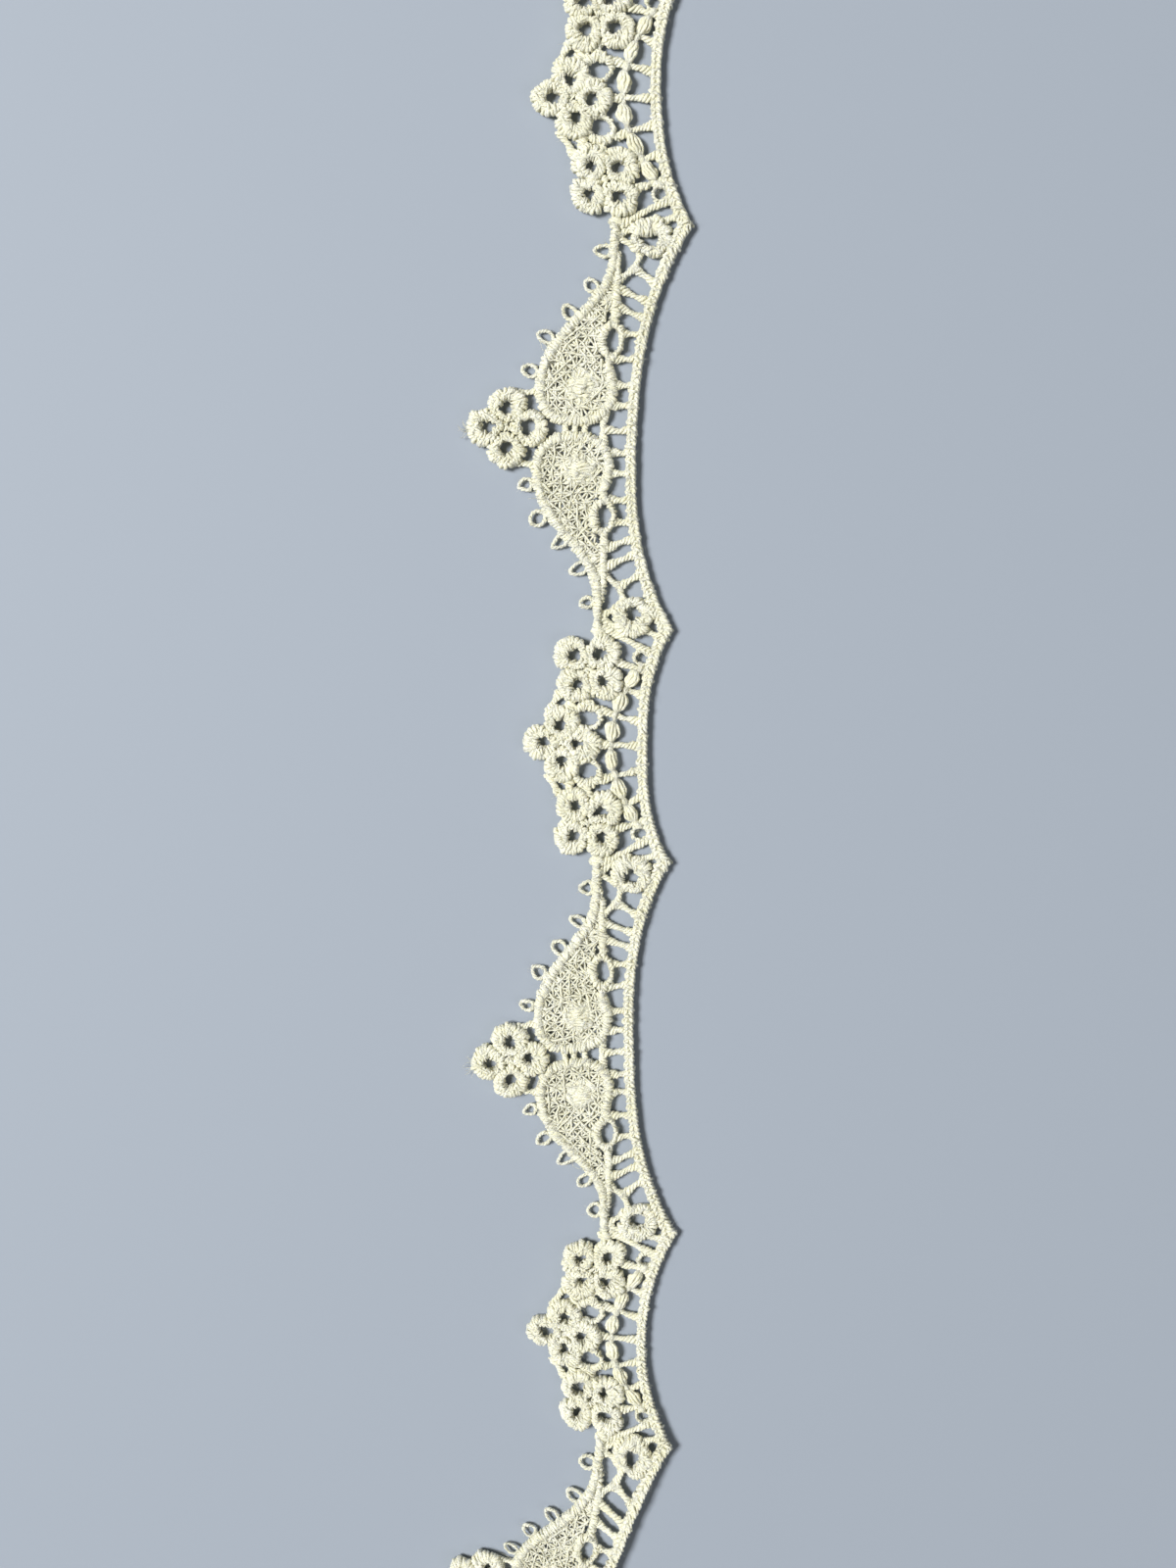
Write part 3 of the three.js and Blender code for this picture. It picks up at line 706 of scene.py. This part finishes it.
def net():
    count = np.ceil((WINDOW_HIGH - WINDOW_LOW) / NET_PITCH).astype(int) + 1
    i, j = np.meshgrid(np.arange(count[0]), np.arange(count[1]), indexing="ij")
    knots = WINDOW_LOW + np.stack([i, j], -1) * NET_PITCH + rng.normal(0, NET_PULL, (*count, 2))
    ways = len(NET_WAYS)
    over = rng.permuted(np.tile(np.arange(ways), (*count, 1)), axis=2)   # who lies over whom at a knot
    levels = NET_LEVEL + NET_WEAVE * (over - (ways - 1) / 2)
    threads = []
    for way, (step_i, step_j) in enumerate(NET_WAYS):
        starts = [(a, b) for a in range(count[0]) for b in range(count[1])
                  if not (0 <= a - step_i < count[0] and 0 <= b - step_j < count[1])]
        for a, b in starts:
            path = []
            while 0 <= a < count[0] and 0 <= b < count[1]:
                path.append((*knots[a, b], levels[a, b, way]))
                a, b = a + step_i, b + step_j
            if len(path) > 1:
                threads += clipped(smooth(path, NET_STEPS))
    return threads


def ground():
    reach = np.linspace(-GROUND_REACH, GROUND_REACH, GROUND_STEPS)[:, None]
    threads = []
    for _ in range(GROUND_THREADS):
        middle, heading = rng.uniform(WINDOW_LOW, WINDOW_HIGH), rng.uniform(0, pi)
        path = middle + reach * unit(heading)
        level = GROUND_LEVEL + rng.uniform(-GROUND_SPREAD, GROUND_SPREAD)
        threads += clipped(np.column_stack([path, np.full(GROUND_STEPS, level)]))
    return threads


NET = everywhere(net, PAIRS)
GROUND = everywhere(ground, PAIRS)
print("net threads:", len(NET), "ground threads:", len(GROUND))

# %% [markdown]
# ## Dots and beads
#
# Each teardrop carries a raised dot in a lumpy skirt, and a chain of beads runs under the flowers of each
# group. Both are satin too, with the threads side by side over a thick padding. They run straight across a
# dot, and from end to end of a bead, all round it, like the ribs of a melon.

# %% The dots
DOT_U, DOT_V, DOT_RADIUS, DOT_FOOT, DOT_CROWN, DOT_STEPS = 4.1, 9.4, 1.15, 0.66, 0.55, 11
DOT_SPACING, DOT_MARGIN, DOT_STRAY, DOT_OVER, DOT_LEAST = 0.27, 0.1, 0.12, 0.05, 0.01
SKIRT = ((DOT_U, DOT_V, 0.75, 0.75), (DOT_U, DOT_V, 1.75, 1.75), 0.44, 0.66)


def dot_threads():
    threads = []
    for aside in np.arange(-DOT_RADIUS + DOT_MARGIN, DOT_RADIUS, DOT_SPACING):
        reach = sqrt(DOT_RADIUS ** 2 - aside ** 2) + rng.uniform(0, DOT_STRAY)
        across = reach * np.cos(np.linspace(pi, 0, DOT_STEPS))
        crown = np.sqrt(np.clip(1 - (across ** 2 + aside ** 2) / (DOT_RADIUS + DOT_OVER) ** 2, 0, 1))
        points = np.column_stack([np.full(DOT_STEPS, DOT_U + aside), DOT_V + across])
        threads.append(Line(points, level=DOT_FOOT + DOT_CROWN * crown))
    return threads


def dot_padding():
    along = DOT_RADIUS * np.cos(np.linspace(pi, 0, DOT_STEPS))
    half = np.sqrt(np.clip(DOT_RADIUS ** 2 - along ** 2, DOT_LEAST ** 2, None))
    points = np.column_stack([np.full(DOT_STEPS, DOT_U), DOT_V + along])
    return [Line(points, half, half * DOT_CROWN / DOT_RADIUS, DOT_FOOT)]


DOTS = everywhere(dot_threads, PAIRS)
SKIRTS = everywhere(lambda: [ring(*SKIRT)], PAIRS)
print("dots:", len(SKIRTS), "threads:", len(DOTS))

# %% The beads
BEAD_LEVEL, BEAD_POINT, BEAD_TIP, BEAD_STEPS = 0.64, 1.1, 0.12, 11
BEAD_RIBS, BEAD_SPREAD, RIB_THREAD = 9, 0.07, 0.17
CHAIN_V, CHAIN_DROP = 5.5, 0.045
BEADS = [
    # station along the chain, half length, half width, half height: the beads, and the knots between them
    (1.5, 1.08, 0.76, 0.62),
    (4.4, 1.08, 0.76, 0.62),
    (6.85, 1.0, 0.74, 0.62),
    (2.98, 0.42, 0.4, 0.42),
    (5.75, 0.42, 0.4, 0.42),
    (8.1, 0.4, 0.4, 0.42),
]


def chain_v(g):
    return CHAIN_V - CHAIN_DROP * g * g


def beads():
    """The beads and knots of half a chain, each a line along the chain that swells in the middle."""
    swing = np.linspace(BEAD_TIP, pi - BEAD_TIP, BEAD_STEPS)
    girth = np.sin(swing) ** BEAD_POINT
    lines = []
    for g, long, half, high in BEADS:
        ahead = unit(atan(-2 * CHAIN_DROP * g))
        spine = (g, chain_v(g)) + ahead * (long * np.cos(swing))[:, None]
        lines.append(Line(spine, half * girth, high * girth, BEAD_LEVEL))
    return lines


def bead_ribs():
    """The threads that run lengthwise over each bead and knot."""
    ribs = []
    for bead in beads():
        along = bead.points[-1] - bead.points[0]
        ahead = along / np.linalg.norm(along)
        aside = np.array([-ahead[1], ahead[0]])
        for angle in np.arange(BEAD_RIBS) * tau / BEAD_RIBS + rng.uniform(0, 1):
            girth = rng.normal(1, BEAD_SPREAD)
            out = girth * (bead.wide - RIB_THREAD).clip(0) * cos(angle)
            up = girth * (bead.high - RIB_THREAD).clip(0) * sin(angle)
            ribs.append(Line(bead.points + aside * out[:, None], level=BEAD_LEVEL + up))
    return ribs


CHAIN_BEADS = everywhere(beads, GROUPS)
CHAIN_RIBS = everywhere(bead_ribs, GROUPS)
print("beads and knots:", len(CHAIN_BEADS), "ribs:", len(CHAIN_RIBS))

# %% [markdown]
# ## Bars, rosettes, rings and picots
#
# Twisted bars tie the figures together: a ladder from each teardrop to the header, braces in the corners, and
# ties between the flowers. They splay where they are tied in, which rounds the bays between them. A rosette
# sits inside each header corner. Small rings flank each middle flower and end each chain of beads. Picots are
# loops of twisted thread along the teardrops' outer edge.

# %% The bars
BAR_SAG, BAR_FLARE, BAR_FREE = 0.06, 0.75, 0.62   # crookedness, splay at the ends, and the share that shows
THIN, STOUT = (0.32, 0.32, 0.5), (0.5, 0.42, 0.55)   # half width, half height and level
# u and v on the teardrop's inner edge, u on the header
LADDER = [(2.3, 6.3, 2.3), (4.35, 6.1, 4.4), (6.9, 6.35, 7.0), (9.3, 6.05, 9.2), (11.9, 6.4, 10.8),
          (13.7, 6.4, 12.3)]
# from u, v to u, v: the forked bar and the braces in a corner, and the tie to the tip flower
PAIR_BARS = [(14.5, 6.5, 15.6, 4.9), (15.6, 4.9, 14.1, 2.7), (15.4, 4.95, 17.5, 4.3), (18.9, 6.9, 17.5, 4.6),
             (18.7, 6.9, 20.1, 4.3), (17.3, 2.6, 16.9, 1.4), (20.0, 2.4, 20.7, 0.6), (3.3, 16.0, 3.7, 13.6)]
HEAD_LINKS = [(-1.1, 11.0, 1.1, 11.0), (-0.9, 10.1, 0.9, 10.1), (-1.0, 9.0, 1.0, 9.0), (-1.5, 7.1, 1.5, 7.1),
              (0, 7.1, 0, PAIR_BOW)]
GROUP_BARS = [(5.3, 10.7, 3.1, 11.9), (3.6, 6.6, 2.4, 2.2), (6.4, 5.2, 5.0, 1.9), (8.6, 5.0, 7.6, 1.5),
              (12.1, 6.5, 9.35, 1.2)]
GROUP_MIDDLE_BAR = (0, 7.0, 0, GROUP_BOW)
FLOWER_TIES = [(3.6, 9.75, 5.0, 9.6), (4.0, 7.9, 5.3, 7.9)]
TAIL_TIE = (11.95, 6.85, 10.35, 6.8)
CHAIN_END, CHAIN_CORD, CHAIN_LEVEL, CHAIN_STEPS = 8.4, 0.24, 0.6, 20


def bars(rows, wide, high, level, steps=9):
    """Bars from u, v to u, v, drawn a little crooked by their stitches and thicker where they are tied in."""
    share = np.linspace(0, 1, steps)
    flare = 1 + BAR_FLARE * (np.abs(2 * share - 1) / BAR_FREE).clip(0, 1) ** 2
    lines = []
    for row in rows:
        start, end = np.array(row[:2], float), np.array(row[2:], float)
        along = end - start
        across = np.array([-along[1], along[0]]) / np.linalg.norm(along)
        sag = rng.normal(0, BAR_SAG) * np.sin(share * pi)
        points = start + share[:, None] * along + sag[:, None] * across
        lines.append(Line(points, wide * flare, high * np.sqrt(flare), level))
    return lines


def pair_bars():
    ladder = [(u, v, head, bow(head, PAIR_HALF, PAIR_BOW)) for u, v, head in LADDER]
    return bars(ladder + PAIR_BARS, *THIN)


def group_bars():
    ties = bars(FLOWER_TIES, *STOUT)
    g = np.linspace(0, CHAIN_END, CHAIN_STEPS)
    chain = Line(np.column_stack([g, chain_v(g)]), CHAIN_CORD, CHAIN_CORD, CHAIN_LEVEL)
    return [*bars(GROUP_BARS, *THIN), *ties, chain]


BARS = (everywhere(pair_bars, PAIRS)
        + everywhere(lambda: bars(HEAD_LINKS, *THIN), PAIRS, (1,))
        + everywhere(group_bars, GROUPS)
        + everywhere(lambda: bars([GROUP_MIDDLE_BAR], *THIN), GROUPS, (1,)))
TAILS = everywhere(lambda: bars([TAIL_TIE], *STOUT), GROUPS)
print("bars:", len(BARS), "tails:", len(TAILS))

# %% The rosettes, rings and picots
ROSETTE_HOLE, ROSETTE_EDGE = (18.35, 3.4, 0.58, 0.66), (18.75, 3.35, 2.0, 2.08)
ROSETTE_SEWN, ROSETTE_LOOSE = (0.66, 0.68), (0.68, 0.7)
FLANK_RING = ((2.7, 7.9, 0.65, 1.0), (2.95, 7.9, 1.6, 1.6), 0.5, 0.6)
CHAIN_RING = ((9.0, 2.4, 0.42, 0.5), (9.0, 2.4, 0.9, 1.0), 0.42, 0.5)
# u, v and lean in degrees
PICOTS = [(5.6, 14.8, 75), (8.95, 13.4, 53), (11.3, 11.15, 49), (13.9, 9.1, 62), (17.3, 8.1, 84)]
PICOT_LONG, PICOT_HALF, PICOT_CORD, PICOT_LEVEL, PICOT_STEPS = 0.98, 0.78, 0.21, 0.5, 24
LONG_SPREAD, HALF_SPREAD, LEAN_SPREAD, PICOT_POINT = 0.07, 0.1, 6, 0.45


def rosette():
    hole, edge = ragged(oval(*ROSETTE_HOLE), EYE_RAGGED), ragged(oval(*ROSETTE_EDGE), PETAL_RAGGED)
    return rounds(hole, edge, ROSETTE_SEWN, ROSETTE_LOOSE)


def picots():
    """The loops, each with a start at the end that is tied in, some of them drawn to a point at the other."""
    angle = np.linspace(pi, 3 * pi, PICOT_STEPS, endpoint=False)
    loops = []
    for u, v, lean in PICOTS:
        along = (PICOT_LONG - PICOT_CORD) * rng.normal(1, LONG_SPREAD) * np.cos(angle)
        half = (PICOT_HALF - PICOT_CORD) * rng.normal(1, HALF_SPREAD)
        across = half * np.sin(angle) * (1 - rng.uniform(0, PICOT_POINT) * np.cos(angle))
        tilt = radians(lean + rng.normal(0, LEAN_SPREAD))
        points = (u, v) + along[:, None] * unit(tilt) + across[:, None] * unit(tilt + pi / 2)
        loops.append(Line(points, PICOT_CORD, PICOT_CORD, PICOT_LEVEL, closed=True))
    return loops


ROSETTES = everywhere(rosette, PAIRS)
SMALL_RINGS = everywhere(lambda: [ring(*FLANK_RING), ring(*CHAIN_RING)], GROUPS)
PICOT_LOOPS = everywhere(picots, PAIRS)
print("rosettes:", len(ROSETTES) // 3, "rings:", len(SMALL_RINGS), "picots:", len(PICOT_LOOPS))

# %% [markdown]
# ## Loose ends
#
# Where the machine cut its thread, a tuft of frayed fibres is left at the tip of a flower. A few more have
# worked loose along the teardrops, and a short fuzz stands off the stitches, as on any spun thread. They are
# laid threads too, only far thinner.

# %% The tufts, stray fibres and fuzz
FIBRE_STEPS, FIBRE_STOUT, FIBRE_CURL, FIBRE_LIFT = 7, 0.22, 0.35, 0.06
FIBRE_TAPER = np.linspace(1.2, 0.7, FIBRE_STEPS + 1)
TUFT_FIBRES, TUFT_U, TUFT_V, TUFT_LEVEL, TUFT_MM = 9, (-0.35, 0.2), 20.5, 0.5, (0.7, 1.5)
STRAYS, STRAY_INWARDS, STRAY_LEVEL, STRAY_MM = 4, 0.2, 0.9, (0.8, 1.8)
FUZZ_SHARE, FUZZ_MM, FUZZ_FROM = 0.6, (0.25, 0.55), (0.4, 0.95)   # fibres to a point, length, place
FUZZ_STOUT, FUZZ_CURL, TUFT_FAN, FUZZ_FAN = 0.1, 0.2, 0.6, 0.7


def fibre(start, heading, length, level, stout=FIBRE_STOUT, curl=FIBRE_CURL):
    """A wavering fibre from a start point that lifts a little off the table."""
    turns = np.cumsum(rng.normal(0, curl, FIBRE_STEPS)) + heading
    steps = unit(turns) * length / FIBRE_STEPS
    points = np.vstack([[start], start + np.cumsum(steps, axis=0)])
    lift = level + np.abs(np.cumsum(rng.normal(0, FIBRE_LIFT, FIBRE_STEPS + 1)))
    return Line(points, level=lift, stout=stout * FIBRE_TAPER)


def tuft():
    return [fibre((rng.normal(*TUFT_U), TUFT_V), rng.normal(pi / 2, TUFT_FAN), rng.uniform(*TUFT_MM),
                  TUFT_LEVEL) for _ in range(TUFT_FIBRES)]


def strays():
    outer = [(u, v - STRAY_INWARDS) for u, v, _ in TEARDROP]
    return [fibre(outer[k], rng.uniform(0, tau), rng.uniform(*STRAY_MM), STRAY_LEVEL)
            for k in rng.integers(0, len(outer), STRAYS)]


def fuzz(lines):
    """Short fibres that stand off the stitches all over: each starts on the flank of one of the lines."""
    fibres = []
    for line in lines:
        count = len(line.points)
        wide, high, level = (np.broadcast_to(size, count) for size in (line.wide, line.high, line.level))
        for k in rng.integers(0, count, round(FUZZ_SHARE * count)):
            heading, share = rng.uniform(0, tau), rng.uniform(*FUZZ_FROM)
            start = line.points[k] + share * wide[k] * unit(heading)
            foot = level[k] + high[k] * sqrt(1 - share ** 2)
            way, length = heading + rng.normal(0, FUZZ_FAN), rng.uniform(*FUZZ_MM)
            fibres.append(fibre(start, way, length, foot, FUZZ_STOUT, FUZZ_CURL))
    return fibres


COVERED = PETALS[2::3] + RIMS[1::4] + RIMS[2::4] + EYELETS + ROSETTES[2::3] + SMALL_RINGS + SKIRTS
FUZZ = fuzz(COVERED + BARS + PICOT_LOOPS + HEADER_BINDING)
FIBRES = everywhere(tuft, PAIRS[:2], (1,)) + everywhere(strays, PAIRS)
print("fibres:", len(FIBRES), "fuzz:", len(FUZZ))

# %% [markdown]
# ## Sewing it all
#
# The padding comes first, one joined piece under everything, a little slimmer than what covers it. Then each
# kind of figure is sewn as a piece of its own, in passes of one stitch each.

# %% The padding
UNDER, SUNK, CORE = 0.14, 0.15, 0.18   # how much slimmer and lower it is than satin, and than a cord
LEAST = 0.03                           # and it never gets thinner than this


def slimmer(lines, beside, above):
    """Every other point of the lines, with less width and height."""
    return [Line(line.points[::2], (line.wide[::2] - beside).clip(LEAST),
                 (line.high[::2] - above).clip(LEAST), line.level[::2], closed=line.closed) for line in lines]


def in_scene(name, data):
    made = bpy.data.objects.new(name, data)
    bpy.context.scene.collection.objects.link(made)
    return made


def sew(name, *passes):
    """One piece of the lace from passes of (tree, lines, sizes), as a plain mesh that rides on the part."""
    joined = bmesh.new()
    for tree, lines, sizes in passes:
        maker = in_scene(name + "_guide", guide(name + "_guide", lines))
        modifier = maker.modifiers.new("stitches", "NODES")
        modifier.node_group = tree
        for item in tree.interface.items_tree:
            if item.name in sizes:
                modifier[item.identifier] = sizes[item.name]
        graph = bpy.context.evaluated_depsgraph_get()
        mesh = bpy.data.meshes.new_from_object(maker.evaluated_get(graph))
        joined.from_mesh(mesh)
        bpy.data.objects.remove(maker)
    joined.to_mesh(mesh)
    joined.free()
    flat = np.empty(len(mesh.vertices) * 3, np.float32)
    mesh.vertices.foreach_get("co", flat)
    mesh.vertices.foreach_set("co", lay(flat.reshape(-1, 3).astype(float)).astype(np.float32).ravel())
    mesh.update()
    piece = in_scene(name, mesh)
    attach(piece, "root")
    triangles = sum(len(face.vertices) - 2 for face in mesh.polygons)
    print(f"{name}: {sum(len(lines) for _, lines, _ in passes)} lines, {triangles} triangles")
    return piece


PADDED = HEADER_PADDING + slimmer(COVERED + CHAIN_BEADS, UNDER, SUNK) + slimmer(BARS + TAILS, CORE, CORE)
padding = sew("padding", (PADDING, PADDED + everywhere(dot_padding, PAIRS), {}))

# %% The header and the flowers
TWIST = dict(Pitch=1.4, Plies=3, Step=0.15, Thread=0.16, Sides=5, Wander=0.12, Swell=1.3)
BINDING = dict(Pitch=0.78, Points=14, Thread=0.17, Slant=0.2, Uneven=0.2)
POINT = dict(Pitch=0.26, Points=12, Thread=0.14, Slant=0.1, Uneven=0.1)
ROUGH = dict(Pitch=0.29, Thread=0.165, Sides=5, Slant=0.18, Uneven=0.04, Outside=0.45, Wander=0.5)
INNER = dict(Pitch=0.29, Thread=0.15, Slant=0.3)
LOOSE = dict(Pitch=0.9, Points=16, Thread=0.15, Slant=0.7, Uneven=0.08, Wander=0.6)
HEART = dict(Pitch=0.25, Slant=0.5)
figures = [
    sew("header_cord", (CORD, HEADER_STRANDS[:1], {**TWIST, "Hand": 1.0}),
        (CORD, HEADER_STRANDS[1:], {**TWIST, "Hand": -1.0}), (SATIN, HEADER_BINDING, BINDING),
        (SATIN, POINTS, POINT)),
    sew("petals_outer_rounds", (SATIN, PETALS[::3], ROUGH)),
    sew("petals_inner_rounds", (SATIN, PETALS[1::3], INNER)),
    sew("petals_loose_stitches", (SATIN, PETALS[2::3], LOOSE), (SATIN, HEARTS, HEART)),
]

# %% The teardrops
RIM_STITCH = dict(Pitch=0.31, Points=14, Thread=0.16, Sides=5, Slant=0.15, Uneven=0.1, Wander=0.32)
RIM_STRAY = {**LOOSE, "Pitch": 1.0, "Slant": 0.4, "Wander": 0.35}
NET_THREAD = dict(Step=0.15, Thread=0.12, Sides=4, Swell=1.5, Wander=0.25)
GROUND_THREAD = dict(Step=0.3, Thread=0.11, Sides=4, Swell=1.0, Wander=0.6)
DOT_THREAD = dict(Step=0.14, Thread=0.18, Wander=0.7, Swell=1.8)
SKIRT_STITCH = dict(Slant=0.5, Wander=0.7, Thread=0.16)
figures += [
    sew("teardrop_rims", (SATIN, RIMS[::4], RIM_STITCH), (SATIN, RIMS[1::4], RIM_STRAY),
        (SATIN, RIMS[2::4] + RIMS[3::4], {}), (SATIN, EYELETS, {})),
    sew("teardrop_net", (LAID, NET, NET_THREAD), (LAID, GROUND, GROUND_THREAD)),
    sew("teardrop_dots", (LAID, DOTS, DOT_THREAD), (SATIN, SKIRTS, SKIRT_STITCH)),
]

# %% The beads, bars, rosettes, picots and fibres
RIB = dict(Step=0.16, Thread=RIB_THREAD, Wander=0.45, Swell=1.6)
BAR_TWIST = dict(Pitch=1.2, Plies=3, Step=0.15, Thread=0.155, Sides=5, Swell=1.4, Wander=0.25)
TAIL_TWIST = dict(Thread=0.2, Plies=3, Swell=1.0)
PICOT_TWIST = dict(Pitch=0.75, Step=0.11, Thread=0.14, Wander=0.25, Swell=1.2)
LONG_FIBRE, SHORT_FIBRE = dict(Step=0.12, Sides=4, Wander=0.1), dict(Step=0.16, Sides=3, Wander=0.0)
figures += [
    sew("bead_chain", (LAID, CHAIN_RIBS, RIB)),
    sew("twisted_bars", (CORD, BARS, BAR_TWIST), (CORD, TAILS, TAIL_TWIST)),
    sew("corner_rosettes", (SATIN, ROSETTES[::3], ROUGH), (SATIN, ROSETTES[1::3], INNER),
        (SATIN, ROSETTES[2::3], LOOSE), (SATIN, SMALL_RINGS, {})),
    sew("picots", (CORD, PICOT_LOOPS, PICOT_TWIST)),
    sew("frayed_fibres", (LAID, FIBRES, LONG_FIBRE), (LAID, FUZZ, SHORT_FIBRE)),
]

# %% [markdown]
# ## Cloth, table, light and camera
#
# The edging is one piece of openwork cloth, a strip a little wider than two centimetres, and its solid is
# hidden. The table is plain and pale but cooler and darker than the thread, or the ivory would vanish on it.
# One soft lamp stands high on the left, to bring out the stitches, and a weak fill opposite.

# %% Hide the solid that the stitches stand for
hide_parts("lace_edging")

# %% The table
TABLE_HALF, TABLE_GAP = 2.0, 0.0001
TABLE_CORNERS = [(-1, -1), (1, -1), (1, 1), (-1, 1)]
LAMINATE = {"Base Color": linear("#949CA6"), "Roughness": 0.7}   # matt: soft shadows and no reflections
table_points = [(x * TABLE_HALF, y * TABLE_HALF, -TABLE_GAP) for x, y in TABLE_CORNERS]
table_mesh = bpy.data.meshes.new("table")
table_mesh.from_pydata(table_points, [], [(0, 1, 2, 3)])
table_mesh.materials.append(surface("matt_table_laminate", LAMINATE)[0])
table = in_scene("table", table_mesh)
print("table, m:", 2 * TABLE_HALF)

# %% The lamps
SKY_COLOUR, SKY_STRENGTH = "#E8ECF2", 0.16


def lamp(name, place, size, power):
    """A square soft lamp that faces the middle of the lace."""
    data = bpy.data.lights.new(name, "AREA")
    data.size, data.energy = size, power
    light = in_scene(name, data)
    light.location = place
    light.rotation_euler = (-Vector(place)).to_track_quat("-Z", "Y").to_euler()
    print(f"{name} lamp: {power} W")


lamp("key", (-0.8, 0.2, 1.22), size=0.4, power=30.4)
lamp("fill", (1.0, -0.6, 1.2), size=1.0, power=4.0)
world = bpy.data.worlds.new("studio")
world.use_nodes = True
sky = world.node_tree.nodes["Background"].inputs
sky["Color"].default_value, sky["Strength"].default_value = linear(SKY_COLOUR), SKY_STRENGTH
bpy.context.scene.world = world
bpy.context.scene.view_settings.view_transform = "Standard"

# %% The camera
CAMERA_TILT = radians(7.775)   # the far end of the view is the lower one
CAMERA_AIM, CAMERA_DISTANCE = (-0.00555, -0.003946, 0.0), 0.2012
view = bpy.data.cameras.new("camera")
view.lens, view.sensor_width, view.clip_start = 45.0, 36.0, 0.01   # mm, mm and m
camera = in_scene("camera", view)
camera.matrix_world = (Matrix.Translation(CAMERA_AIM) @ Matrix.Rotation(-CAMERA_TILT, 4, "X")
                       @ Matrix.Translation((0, 0, CAMERA_DISTANCE)))
bpy.context.scene.camera = camera
print("camera at, mm:", [round(c / MM, 1) for c in camera.matrix_world.translation])
